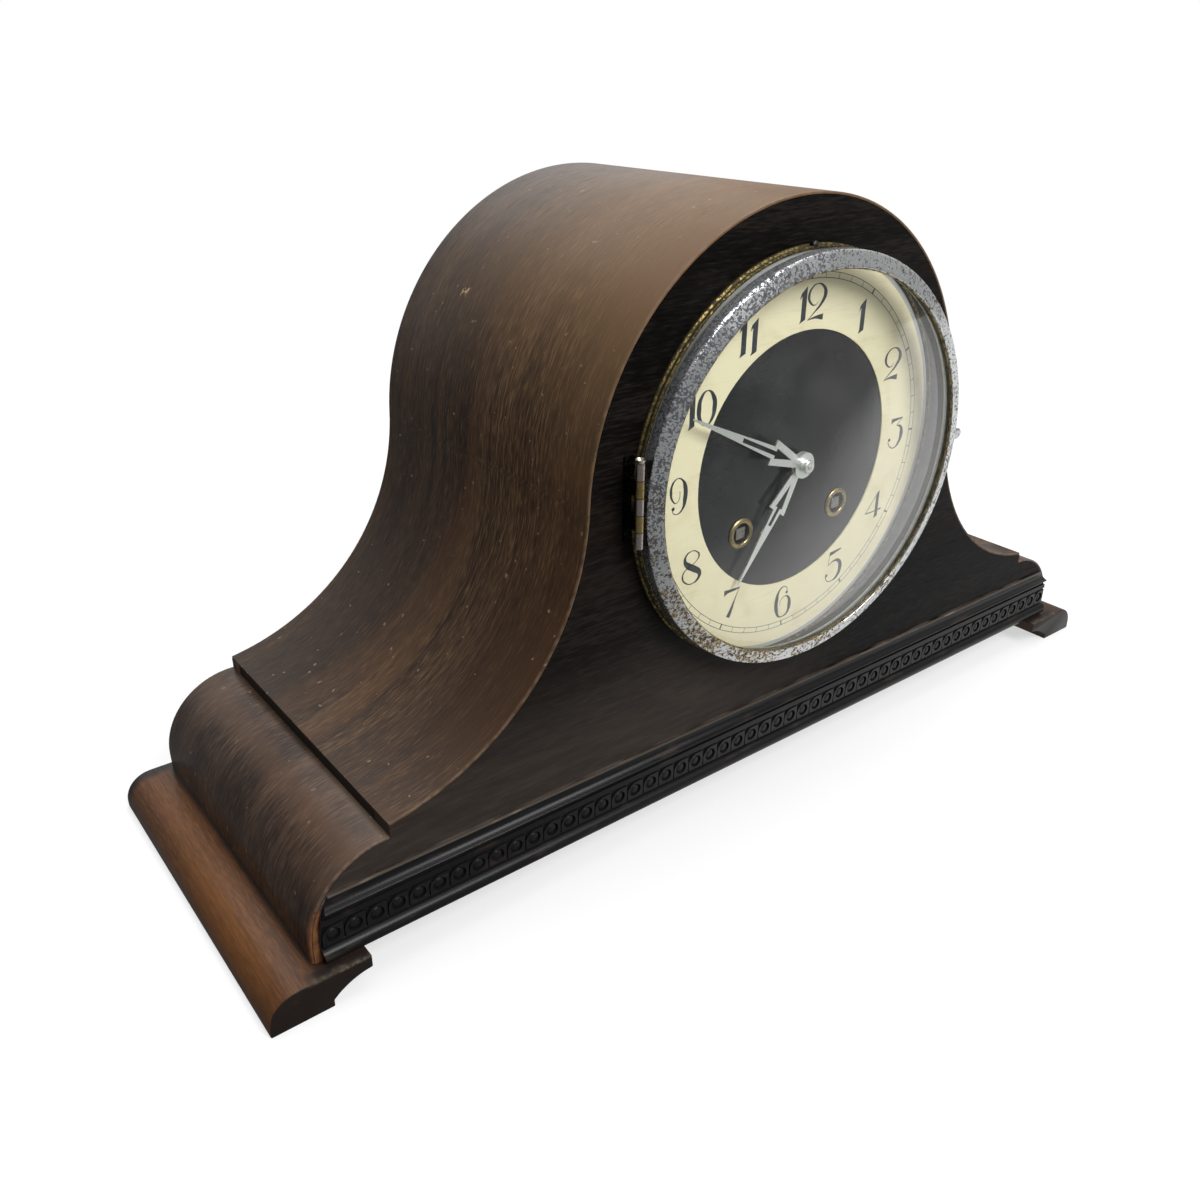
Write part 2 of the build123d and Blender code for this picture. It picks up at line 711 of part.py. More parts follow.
def bezel_glass():
    """Convex glass behind the bezel's face."""
    edge, front, curve = glass_values()
    half_arc = asin(edge / curve) / 2
    drop = curve - curve * cos(half_arc)
    middle = curve * sin(half_arc)
    apex_front = front - GLASS_SAG
    apex_back = apex_front + GLASS_THICK
    edges = [
        ThreePointArc((0, apex_front), (middle, apex_front + drop), (edge, front)),
        Line((edge, front), (edge, front + GLASS_THICK)),
        ThreePointArc((edge, front + GLASS_THICK), (middle, apex_back + drop), (0, apex_back)),
        Line((0, apex_back), (0, apex_front)),
    ]
    return Pos(CENTRE[0], 0, CENTRE[1]) * revolve(make_face(edges), axis=Axis.Y)


def glass_ring():
    """Ring inside the bezel that holds the glass from behind."""
    edge, front, curve = glass_values()
    outer = BEZEL_RADIUS - BEZEL_SHEET
    wall = outer - GLASS_RING_SHEET
    lip_front = front + GLASS_THICK
    lip_back = lip_front + GLASS_RING_SHEET
    points = [
        (outer, BEZEL_BACK),
        (wall, BEZEL_BACK),
        (wall, lip_back),
        (edge - GLASS_RING_LIP, lip_back),
        (edge - GLASS_RING_LIP, lip_front),
        (outer, lip_front),
    ]
    return turned(points, CENTRE)


def hinge_leaf(moving):
    """One half of the bezel hinge: its knuckles and the leaf that joins them to the ring or the bezel."""
    step = HINGE_LENGTH / HINGE_KNUCKLE_COUNT
    low = HINGE_Z - HINGE_LENGTH / 2
    first = 0 if moving else 1
    leaf = None
    for knuckle in range(first, HINGE_KNUCKLE_COUNT, 2):
        bottom = low + knuckle * step + KNUCKLE_GAP / 2
        top = low + (knuckle + 1) * step - KNUCKLE_GAP / 2
        piece = upright(HINGE_X, -HINGE_DEPTH, bottom, top, HINGE_BARREL)
        if moving:
            arm_back = HINGE_LEAF - HINGE_DEPTH
            arm = block((HINGE_X, -HINGE_DEPTH, bottom), (0, arm_back, top))
            piece += arm - rod(CENTRE, BEZEL_RADIUS, -HINGE_DEPTH, arm_back)
        else:
            piece += block(
                (HINGE_X - HINGE_TAB / 2, -HINGE_DEPTH, bottom),
                (HINGE_X + HINGE_TAB / 2, -HINGE_LEAF, top),
            )
        leaf = piece if leaf is None else leaf + piece
    if not moving:
        plate = block((HINGE_X - HINGE_TAB / 2, -HINGE_LEAF, low), (0, 0, low + HINGE_LENGTH))
        leaf += plate - rod(CENTRE, SEAT_RADIUS + SEAT_RIDGE, -HINGE_LEAF, 0)
    bore = HINGE_PIN + RUN if moving else HINGE_PIN
    return leaf - upright(HINGE_X, -HINGE_DEPTH, low, low + HINGE_LENGTH, bore)


def toothed(teeth, root, tip, wide, narrow, turn):
    """Outline of flat-sided teeth; wide and narrow are metal shares of the pitch at root and tip."""
    pitch = 2 * pi / teeth
    points = []
    for tooth in range(teeth):
        middle = turn + tooth * pitch
        for radius, share in ((root, -wide), (tip, -narrow), (tip, narrow), (root, wide)):
            points.append(polar((0, 0), radius, middle + share * pitch / 2))
    return make_face(Polyline(*points, close=True))


def saw(teeth, root, tip, lean, turn):
    """Outline of one-way pointed teeth."""
    pitch = 2 * pi / teeth
    points = []
    for tooth in range(teeth):
        points.append(polar((0, 0), tip, turn + tooth * pitch))
        points.append(polar((0, 0), root, turn + (tooth + lean) * pitch))
    return make_face(Polyline(*points, close=True))


def crossings(outer):
    """Openings between the spokes of a wheel."""
    windows = []
    for spoke in range(SPOKE_COUNT):
        middle = 2 * pi * spoke / SPOKE_COUNT
        wide = pi / SPOKE_COUNT - SPOKE / (2 * outer)
        narrow = pi / SPOKE_COUNT - SPOKE / (2 * HUB)
        corners = [
            polar((0, 0), outer, middle - wide),
            polar((0, 0), outer, middle),
            polar((0, 0), outer, middle + wide),
            polar((0, 0), HUB, middle + narrow),
            polar((0, 0), HUB, middle - narrow),
        ]
        windows.append(make_face(Polyline(*corners, close=True)))
    return windows


def wheel_face(teeth, module, turn):
    """Spoked wheel outline about the origin, one tooth centred on the given angle."""
    pitch_radius = teeth * module / 2
    root = pitch_radius - WHEEL_ROOT_SHARE * module
    tip = pitch_radius + WHEEL_TIP_SHARE * module
    face = toothed(teeth, root, tip, WHEEL_WIDE_SHARE, WHEEL_NARROW_SHARE, turn)
    return face - crossings(root - RIM)


def pinion_face(leaves, module, turn):
    """Pinion outline about the origin, one gap centred on the given angle."""
    pitch_radius = leaves * module / 2
    root = pitch_radius - LEAF_ROOT_SHARE * module
    tip = pitch_radius + LEAF_TIP_SHARE * module
    return toothed(leaves, root, tip, LEAF_WIDE_SHARE, LEAF_NARROW_SHARE, turn + pi / leaves)


def wheel(place, mate, teeth, module, level, thick):
    """Wheel on an arbor with one tooth pointing at the arbor of its mate."""
    face = Pos(*place) * wheel_face(teeth, module, heading(place, mate))
    return slab(face, FRONT_IN + level, FRONT_IN + level + thick)


def pinion(place, mate, leaves, module, level):
    """Pinion on an arbor with one gap facing the arbor of its mate, centred on the mate's wheel."""
    face = Pos(*place) * pinion_face(leaves, module, heading(place, mate))
    front = FRONT_IN + level + (WHEEL_THICK - PINION_LENGTH) / 2
    return slab(face, front, front + PINION_LENGTH)


def staff(place, radius):
    """Arbor between the plates with a pivot in each."""
    body = rod(place, radius, FRONT_IN + SHAKE, BACK_IN - SHAKE)
    return body + rod(place, PIVOT, PLATE_FRONT, BACK_OUT)


def plate_blank(front):
    """Movement plate outline as a solid, before its holes."""
    height = PLATE_TOP + PLATE_BOTTOM
    middle = DIAL_Z + (PLATE_TOP - PLATE_BOTTOM) / 2
    face = Pos(0, middle) * RectangleRounded(2 * PLATE_HALF, height, PLATE_CORNER)
    blank = slab(face, front, front + PLATE)
    pivots = (SECOND, THIRD, ESCAPE, PIN_WHEEL, LOCK, FLY)
    holes = [rod(place, PIVOT + RUN, front, front + PLATE) for place in pivots]
    holes += [rod(place, PILLAR_TENON, front, front + PLATE) for place in POSTS]
    holes.append(rod(HAMMER, HAMMER_ARBOR + RUN, front, front + PLATE))
    return blank - holes


def front_plate():
    """Front movement plate with the post of the minute wheel and the posts of the clicks."""
    plate = plate_blank(PLATE_FRONT)
    for barrel in (TIME_BARREL, STRIKE_BARREL):
        plate -= rod(barrel, WIND_ARBOR + RUN, PLATE_FRONT, FRONT_IN)
        plate += rod(click_place(barrel), CLICK_POST, PLATE_FRONT - RATCHET_GAP - RATCHET_THICK, PLATE_FRONT)
    plate -= rod(CENTRE, CENTRE_FRONT + RUN, PLATE_FRONT, FRONT_IN)
    plate -= rod(ANCHOR, PIVOT + RUN, PLATE_FRONT, FRONT_IN)
    return plate + rod(MINUTE_ARBOR, MOTION_POST, minute_front() - PINION_LENGTH, PLATE_FRONT)


def back_plate():
    """Back movement plate."""
    plate = plate_blank(BACK_IN)
    for barrel in (TIME_BARREL, STRIKE_BARREL):
        plate -= rod(barrel, WIND_ARBOR + RUN, BACK_IN, BACK_OUT)
    plate -= rod(CENTRE, PIVOT + RUN, BACK_IN, BACK_OUT)
    return plate - rod(ANCHOR, ARBOR + RUN, BACK_IN, BACK_OUT)


def pillar(place):
    """Pillar between the plates with a tenon through each."""
    body = rod(place, PILLAR_RADIUS, FRONT_IN, BACK_IN)
    return body + rod(place, PILLAR_TENON, PLATE_FRONT, BACK_OUT + NUT_THICK)


def pillar_nut(place):
    """Hexagon nut on a pillar's rear tenon."""
    face = Pos(*place) * (RegularPolygon(NUT_RADIUS, NUT_SIDE_COUNT) - Circle(PILLAR_TENON))
    return slab(face, BACK_OUT, BACK_OUT + NUT_THICK)


def barrel(place, mate):
    """Closed spring barrel with its toothed rim."""
    front = FRONT_IN + BARREL_LEVEL
    rim = FRONT_IN + GREAT_LEVEL
    back = rim + GREAT_THICK
    pitch_radius = GREAT_TEETH * GREAT_MODULE / 2
    root = pitch_radius - WHEEL_ROOT_SHARE * GREAT_MODULE
    tip = pitch_radius + WHEEL_TIP_SHARE * GREAT_MODULE
    turn = heading(place, mate)
    teeth = toothed(GREAT_TEETH, root, tip, WHEEL_WIDE_SHARE, WHEEL_NARROW_SHARE, turn)
    solid = slab(Pos(*place) * teeth, rim, back) + rod(place, BARREL_RADIUS, front, rim)
    solid -= rod(place, BARREL_RADIUS - BARREL_WALL, front + BARREL_WALL, rim)
    return solid - rod(place, WIND_ARBOR + RUN, front, back)


def mainspring(place):
    """Coiled mainspring pack inside its barrel."""
    front = FRONT_IN + BARREL_LEVEL + BARREL_WALL
    rim = FRONT_IN + GREAT_LEVEL
    outer = rod(place, BARREL_RADIUS - BARREL_WALL, front, rim - SPRING_SLACK)
    return outer - rod(place, SPRING_INNER, front, rim)


def winding_arbor(place):
    """Barrel arbor with its square end, spring core and ratchet wheel."""
    ratchet_back = PLATE_FRONT - RATCHET_GAP
    ratchet_front = ratchet_back - RATCHET_THICK
    core_front = FRONT_IN + BARREL_LEVEL + BARREL_WALL + SPRING_SLACK
    core_back = FRONT_IN + GREAT_LEVEL - SPRING_SLACK
    root = RATCHET_TIP - RATCHET_DEEP
    ratchet = Pos(*place) * saw(RATCHET_TEETH, root, RATCHET_TIP, RATCHET_LEAN_SHARE, pi / 2)
    solid = rod(place, WIND_ARBOR, ratchet_front, BACK_OUT)
    solid += slab(ratchet, ratchet_front, ratchet_back)
    solid += rod(place, BARREL_CORE, core_front, core_back)
    return solid + slab(Pos(*place) * Rectangle(WIND_SQUARE, WIND_SQUARE), DIAL_FRONT, ratchet_front)


def click_place(barrel_place):
    """Pivot of the click that holds a ratchet wheel."""
    return (barrel_place[0] - CLICK_X, barrel_place[1] + CLICK_Z)


def click(barrel_place):
    """Click resting in a tooth of its ratchet wheel."""
    pivot = click_place(barrel_place)
    back = PLATE_FRONT - RATCHET_GAP
    front = back - RATCHET_THICK
    pitch = 2 * pi / RATCHET_TEETH
    reach = RATCHET_TIP - RATCHET_DEEP / 2
    toe = polar(barrel_place, reach, pi / 2 + pitch * RATCHET_LEAN_SHARE + CLICK_TIP_GAP / reach)
    heel = polar(barrel_place, RATCHET_TIP + CLICK_WIDE, heading(barrel_place, toe))
    face = make_face(Polyline(toe, heel, (pivot[0], pivot[1] + CLICK_WIDE), pivot, close=True))
    solid = slab(face, front, back) + rod(pivot, CLICK_BOSS, front, back)
    return solid - rod(pivot, CLICK_POST + RUN, front, back)


def centre_wheel():
    """Centre arbor with its pinion and wheel; its front end carries the cannon pinion."""
    solid = rod(CENTRE, CENTRE_FRONT, hand_depth(MINUTE_HAND_REACH) + SHAKE, FRONT_IN + SHAKE + CENTRE_LEVEL)
    solid += rod(CENTRE, ARBOR, FRONT_IN + CENTRE_LEVEL, BACK_IN - SHAKE)
    solid += rod(CENTRE, PIVOT, BACK_IN - SHAKE, BACK_OUT)
    solid += wheel(CENTRE, THIRD, CENTRE_TEETH, CENTRE_MODULE, CENTRE_LEVEL, WHEEL_THICK)
    return solid + pinion(CENTRE, SECOND, SECOND_PINION_TEETH, SECOND_MODULE, SECOND_LEVEL)


def second_wheel(place, barrel_place, driven):
    """Second arbor of a train: a pinion on the barrel and a wheel on the next arbor."""
    solid = staff(place, ARBOR)
    solid += pinion(place, barrel_place, GREAT_PINION_TEETH, GREAT_MODULE, GREAT_LEVEL)
    return solid + wheel(place, driven, SECOND_TEETH, SECOND_MODULE, SECOND_LEVEL, WHEEL_THICK)


def pin_wheel():
    """Strike wheel with lifting pins for the hammer tail."""
    solid = second_wheel(PIN_WHEEL, STRIKE_BARREL, LOCK)
    front = FRONT_IN + SECOND_LEVEL + WHEEL_THICK
    for pin in range(PIN_COUNT):
        place = polar(PIN_WHEEL, PIN_CIRCLE, 2 * pi * pin / PIN_COUNT)
        solid += rod(place, PIN_RADIUS, front, front + PIN_LENGTH)
    return solid


def third_wheel():
    """Third arbor of the time train."""
    solid = staff(THIRD, SLIM_ARBOR)
    solid += pinion(THIRD, CENTRE, THIRD_PINION_TEETH, CENTRE_MODULE, CENTRE_LEVEL)
    return solid + wheel(THIRD, ESCAPE, THIRD_TEETH, THIRD_MODULE, THIRD_LEVEL, WHEEL_THICK)


def escape_wheel():
    """Escape arbor with its pinion and pointed wheel."""
    solid = staff(ESCAPE, SLIM_ARBOR)
    solid += pinion(ESCAPE, THIRD, ESCAPE_PINION_TEETH, THIRD_MODULE, THIRD_LEVEL)
    face = saw(ESCAPE_TEETH, ESCAPE_TIP - ESCAPE_DEEP, ESCAPE_TIP, ESCAPE_LEAN_SHARE, pi / 2)
    face -= crossings(ESCAPE_TIP - ESCAPE_DEEP - RIM)
    front = FRONT_IN + ESCAPE_LEVEL
    return solid + slab(Pos(*ESCAPE) * face, front, front + WHEEL_THICK)


def lock_wheel():
    """Locking arbor of the strike train."""
    solid = staff(LOCK, ARBOR)
    solid += pinion(LOCK, PIN_WHEEL, SECOND_PINION_TEETH, SECOND_MODULE, SECOND_LEVEL)
    return solid + wheel(LOCK, FLY, LOCK_TEETH, LOCK_MODULE, LOCK_LEVEL, WHEEL_THICK)


def fly():
    """Air brake of the strike train: a pinion and a flat vane."""
    solid = staff(FLY, SLIM_ARBOR)
    solid += pinion(FLY, LOCK, FLY_PINION_TEETH, LOCK_MODULE, LOCK_LEVEL)
    front = FRONT_IN + FLY_LEVEL
    vane = Pos(*FLY) * Rectangle(2 * FLY_HALF, FLY_THICK)
    return solid + slab(vane, front, front + FLY_LENGTH)


def anchor():
    """Anchor over the escape wheel, its arbor, and the crutch that forks round the pendulum rod."""
    inner = ESCAPE_TIP + ANCHOR_CLEAR
    outer = inner + ANCHOR_STRIP
    low = pi / 2 - ANCHOR_SPAN
    high = pi / 2 + ANCHOR_SPAN
    edges = [
        ThreePointArc(polar(ESCAPE, inner, low), polar(ESCAPE, inner, pi / 2), polar(ESCAPE, inner, high)),
        Line(polar(ESCAPE, inner, high), polar(ESCAPE, outer, high)),
        ThreePointArc(polar(ESCAPE, outer, high), polar(ESCAPE, outer, pi / 2), polar(ESCAPE, outer, low)),
        Line(polar(ESCAPE, outer, low), polar(ESCAPE, inner, low)),
    ]
    front = FRONT_IN + ESCAPE_LEVEL + (WHEEL_THICK - ANCHOR_THICK) / 2
    crutch_y = BACK_OUT + CRUTCH_FRONT + CRUTCH_LONG / 2
    fork_z = ANCHOR[1] - CRUTCH_REACH
    slot = PENDULUM_ROD + FORK_CLEAR
    solid = slab(make_face(edges), front, front + ANCHOR_THICK)
    solid += rod(ANCHOR, ANCHOR_HUB, front, front + ANCHOR_THICK)
    solid += rod(ANCHOR, ARBOR, FRONT_IN + SHAKE, BACK_OUT + CRUTCH_FRONT + CRUTCH_LONG)
    solid += rod(ANCHOR, PIVOT, PLATE_FRONT, FRONT_IN + SHAKE)
    solid += rod(ANCHOR, CRUTCH_COLLET, BACK_OUT + CRUTCH_FRONT, BACK_OUT + CRUTCH_FRONT + CRUTCH_LONG)
    solid += upright(0, crutch_y, fork_z, ANCHOR[1], CRUTCH_WIRE)
    solid += block(
        (-FORK_HALF, crutch_y - CRUTCH_WIRE - FORK_LIP, fork_z - FORK_THICK),
        (FORK_HALF, PENDULUM_Y + FORK_HALF, fork_z),
    )
    return solid - block(
        (-slot, PENDULUM_Y - FORK_HALF, fork_z - FORK_THICK),
        (slot, PENDULUM_Y + FORK_HALF, fork_z),
    )


def pendulum_cock():
    """Bracket behind the back plate with the stud that the pendulum hangs on."""
    low = ANCHOR[1] - COCK_RISE
    high = ANCHOR[1] + COCK_RISE
    plate_front = BACK_OUT + COCK_STAND
    plate_back = plate_front + COCK_PLATE
    solid = block((-COCK_HALF, plate_front, low), (COCK_HALF, plate_back, high))
    for side in (-1, 1):
        near, far = sorted((side * (COCK_HALF - COCK_FOOT), side * COCK_HALF))
        solid += block((near, BACK_OUT, low), (far, plate_front, high))
    solid += rod(ANCHOR, STUD, plate_back, plate_back + STUD_LONG)
    return solid + rod(ANCHOR, STUD_HEAD, plate_back + STUD_LONG, plate_back + STUD_LONG + STUD_CAP)


def pendulum_rod():
    """Pendulum rod with the eye that hangs on the stud."""
    bob_z = ANCHOR[1] - PENDULUM_LENGTH
    bottom = bob_z - BOB_RADIUS - RATING_HEIGHT - ROD_TAIL
    eye_front = PENDULUM_Y - EYE_THICK / 2
    eye_back = PENDULUM_Y + EYE_THICK / 2
    solid = upright(0, PENDULUM_Y, bottom, ANCHOR[1] - STUD - RUN, PENDULUM_ROD)
    solid += rod(ANCHOR, EYE_RADIUS, eye_front, eye_back)
    return solid - rod(ANCHOR, STUD + RUN, eye_front, eye_back)


def pendulum_bob():
    """Lens-shaped bob threaded on the rod."""
    bob_z = ANCHOR[1] - PENDULUM_LENGTH
    rim = BOB_EDGE / 2
    bulge = ((BOB_BOSS + BOB_RADIUS) / 2, (3 * BOB_BELLY + rim) / 4)
    edges = [
        Line((0, -BOB_BELLY), (0, BOB_BELLY)),
        Line((0, BOB_BELLY), (BOB_BOSS, BOB_BELLY)),
        ThreePointArc((BOB_BOSS, BOB_BELLY), bulge, (BOB_RADIUS, rim)),
        Line((BOB_RADIUS, rim), (BOB_RADIUS, -rim)),
        ThreePointArc((BOB_RADIUS, -rim), (bulge[0], -bulge[1]), (BOB_BOSS, -BOB_BELLY)),
        Line((BOB_BOSS, -BOB_BELLY), (0, -BOB_BELLY)),
    ]
    lens = Pos(0, PENDULUM_Y, bob_z) * revolve(make_face(edges), axis=Axis.Y)
    return lens - upright(0, PENDULUM_Y, bob_z - BOB_RADIUS, bob_z + BOB_RADIUS, PENDULUM_ROD)


def rating_nut():
    """Nut under the bob that sets the rate."""
    top = ANCHOR[1] - PENDULUM_LENGTH - BOB_RADIUS - RATING_GAP
    low = top - RATING_HEIGHT
    outside = upright(0, PENDULUM_Y, low, top, RATING_RADIUS)
    return outside - upright(0, PENDULUM_Y, low, top, PENDULUM_ROD + RUN)


def gong_rod(index):
    """One gong rod, fixed in the block at its left end."""
    start = -BLOCK_RIGHT - GONG_SOCKET
    end = GONG_END - (GONG_COUNT - 1 - index) * GONG_LONGER
    place = Plane.YZ.offset(start)
    return extrude(place * Pos(GONG_DEPTHS[index], GONG_Z) * Circle(GONG_ROD), amount=end - start)


def gong_block():
    """Iron block on the bottom board that holds the gong rods."""
    solid = block(
        (-BLOCK_RIGHT - BLOCK_LONG, GONG_DEPTHS[0] - BLOCK_MARGIN, BOARD_TOP),
        (-BLOCK_RIGHT, GONG_DEPTHS[-1] + BLOCK_MARGIN, GONG_Z + BLOCK_OVER),
    )
    return solid - [gong_rod(index) for index in range(GONG_COUNT)]


def hammers():
    """Hammer arbor with its lifting tail, and one arm and head for each gong rod."""
    solid = rod(HAMMER, HAMMER_ARBOR, PLATE_FRONT, GONG_DEPTHS[-1] + ARM_THICK)
    reach = hypot(PIN_WHEEL[0] - HAMMER[0], PIN_WHEEL[1] - HAMMER[1]) - PIN_CIRCLE - PIN_RADIUS - TAIL_CLEAR
    tail_end = polar(HAMMER, reach, heading(HAMMER, PIN_WHEEL))
    tail_front = FRONT_IN + TAIL_LEVEL
    solid += slab(bar(HAMMER, tail_end, TAIL_WIDE), tail_front, tail_front + ARM_THICK)
    solid += rod(HAMMER, TAIL_WIDE, tail_front, tail_front + ARM_THICK)
    head_x = -BLOCK_RIGHT + HEAD_FROM_BLOCK
    head_low = GONG_Z + GONG_ROD + HEAD_GAP
    head_high = head_low + HEAD_LENGTH
    for depth in GONG_DEPTHS:
        arm = bar(HAMMER, (head_x, (head_low + head_high) / 2), ARM_WIDE)
        solid += slab(arm, depth - ARM_THICK / 2, depth + ARM_THICK / 2)
        solid += rod(HAMMER, TAIL_WIDE, depth - ARM_THICK, depth + ARM_THICK)
        solid += upright(head_x, depth, head_low, head_high, HEAD_RADIUS)
    return solid


def minute_back():
    """Depth of the back face of the minute wheel."""
    return PLATE_FRONT - MOTION_BACK


def minute_front():
    """Depth of the front face of the minute wheel."""
    return minute_back() - WHEEL_THICK


def hour_back():
    """Depth of the back face of the hour wheel."""
    return minute_front() - MOTION_GAP


def hand_depth(reach):
    """Depth of the front face of a hand that stands a given reach off the dial."""
    return CHAPTER_FRONT - reach


def motion_wheel(place, mate, teeth, module, back):
    """Wheel of the motion work with a tooth pointing at its mate."""
    face = Pos(*place) * wheel_face(teeth, module, heading(place, mate))
    return slab(face, back - WHEEL_THICK, back)


def cannon_pinion():
    """Cannon pinion and its pipe, turning on the centre arbor."""
    front = hand_depth(MINUTE_HAND_REACH)
    middle = (minute_back() + minute_front()) / 2
    leaves = Pos(*CENTRE) * pinion_face(CANNON_TEETH, MINUTE_MODULE, heading(CENTRE, MINUTE_ARBOR))
    solid = slab(leaves, middle - WHEEL_THICK, middle + WHEEL_THICK)
    solid += rod(CENTRE, CANNON_PIPE, front, middle)
    return solid - rod(CENTRE, CENTRE_FRONT + RUN, front, PLATE_FRONT)


def minute_wheel():
    """Minute wheel and its pinion, turning on a post of the front plate."""
    solid = motion_wheel(MINUTE_ARBOR, CENTRE, MINUTE_TEETH, MINUTE_MODULE, minute_back())
    leaves = Pos(*MINUTE_ARBOR) * pinion_face(MINUTE_PINION_TEETH, HOUR_MODULE, heading(MINUTE_ARBOR, CENTRE))
    solid += slab(leaves, minute_front() - PINION_LENGTH, minute_front())
    return solid - rod(MINUTE_ARBOR, MOTION_POST + RUN, minute_front() - PINION_LENGTH, minute_back())


def hour_wheel():
    """Hour wheel and its pipe, turning on the cannon pinion."""
    bore = CANNON_PIPE + RUN
    front = hand_depth(HOUR_HAND_REACH)
    solid = motion_wheel(CENTRE, MINUTE_ARBOR, HOUR_TEETH, HOUR_MODULE, hour_back())
    solid += rod(CENTRE, bore + HOUR_WALL, front, hour_back())
    return solid - rod(CENTRE, bore, front, hour_back())


def hand(length, slot, turn, reach, bore):
    """Pierced arrow hand about the dial centre, pointing along an angle."""
    outline = [
        (0, HAND_ROOT_HALF),
        (HAND_BARB, HAND_BARB_HALF),
        (HAND_BARB, HAND_BAR_HALF),
        (length, HAND_TIP_HALF),
        (length, -HAND_TIP_HALF),
        (HAND_BARB, -HAND_BAR_HALF),
        (HAND_BARB, -HAND_BARB_HALF),
        (0, -HAND_ROOT_HALF),
    ]
    window = [
        (SLOT_TIP, 0),
        (SLOT_STEP, SLOT_WIDE_HALF),
        (SLOT_STEP, SLOT_HALF),
        (slot, SLOT_HALF),
        (slot, -SLOT_HALF),
        (SLOT_STEP, -SLOT_HALF),
        (SLOT_STEP, -SLOT_WIDE_HALF),
    ]
    face = make_face(Polyline(*outline, close=True)) + Circle(HAND_BOSS)
    face -= make_face(Polyline(*window, close=True))
    face -= Circle(bore)
    front = hand_depth(reach)
    return slab(Pos(*CENTRE) * Rot(0, 0, degrees(turn)) * face, front, front + HAND_THICK)


def hand_nut():
    """Nut that holds the minute hand on the cannon pinion."""
    back = hand_depth(MINUTE_HAND_REACH)
    front = back - NUT_FRONT
    return rod(CENTRE, NUT_BODY, front, back) + rod(CENTRE, NUT_PIP, front - NUT_PIP_RISE, front)


def ajar(shape):
    """Shape of the closed bezel turned to its slightly open rest."""
    axis = Pos(HINGE_X, -HINGE_DEPTH, 0)
    return axis * Rot(0, 0, -BEZEL_AJAR) * Pos(-HINGE_X, HINGE_DEPTH, 0) * shape


def door_knob():
    """Turned knob near the free edge of the back door."""
    place = (DOOR_HALF - DOOR_KNOB_INSET, (DOOR_SILL_Z + HUMP_CENTRE_Z) / 2)
    neck = CASE_DEPTH + DOOR_KNOB_REACH / 3
    points = [
        (0, CASE_DEPTH),
        (DOOR_KNOB_STEM, CASE_DEPTH),
        (DOOR_KNOB_STEM, neck),
        (DOOR_KNOB, neck + DOOR_KNOB_STEM / 3),
        (DOOR_KNOB, CASE_DEPTH + DOOR_KNOB_REACH - DOOR_KNOB_STEM / 3),
        (DOOR_KNOB_STEM, CASE_DEPTH + DOOR_KNOB_REACH),
        (0, CASE_DEPTH + DOOR_KNOB_REACH),
    ]
    return turned(points, place)


def dial_plate():
    """Black dial plate with its centre and winding holes."""
    face = Pos(*CENTRE) * (Circle(DIAL_RADIUS) - Circle(DIAL_EYE))
    for place in (TIME_BARREL, STRIKE_BARREL):
        face -= Pos(*place) * Circle(GROMMET_HOLE + GROMMET_TUBE)
    return slab(face, DIAL_FRONT, DIAL_BACK)


def chapter_ring():
    """Pale ring that carries the numerals."""
    face = Pos(*CENTRE) * (Circle(CHAPTER_OUTER) - Circle(CHAPTER_INNER))
    return slab(face, CHAPTER_FRONT, DIAL_FRONT)


def bottom_board():
    """Board between the shoulder blocks."""
    return block((-BLOCK_INNER, FRONT_PANEL, FOOT_HEIGHT), (BLOCK_INNER, BACK_INSIDE, BOARD_TOP))


def hinge_pin():
    """Pin of the bezel hinge with a small cap on its top."""
    low = HINGE_Z - HINGE_LENGTH / 2
    high = HINGE_Z + HINGE_LENGTH / 2
    cap = upright(HINGE_X, -HINGE_DEPTH, high, high + HINGE_LEAF, HINGE_BARREL)
    return upright(HINGE_X, -HINGE_DEPTH, low, high, HINGE_PIN) + cap


def butt_pin(centre_z):
    """Pin of one back-door hinge."""
    half = BUTT_LENGTH / 2
    return upright(-DOOR_HALF, CASE_DEPTH + BUTT_BARREL, centre_z - half, centre_z + half, BUTT_PIN)


def group(shapes):
    """Several separate solids as one piece."""
    return Compound(children=list(shapes))


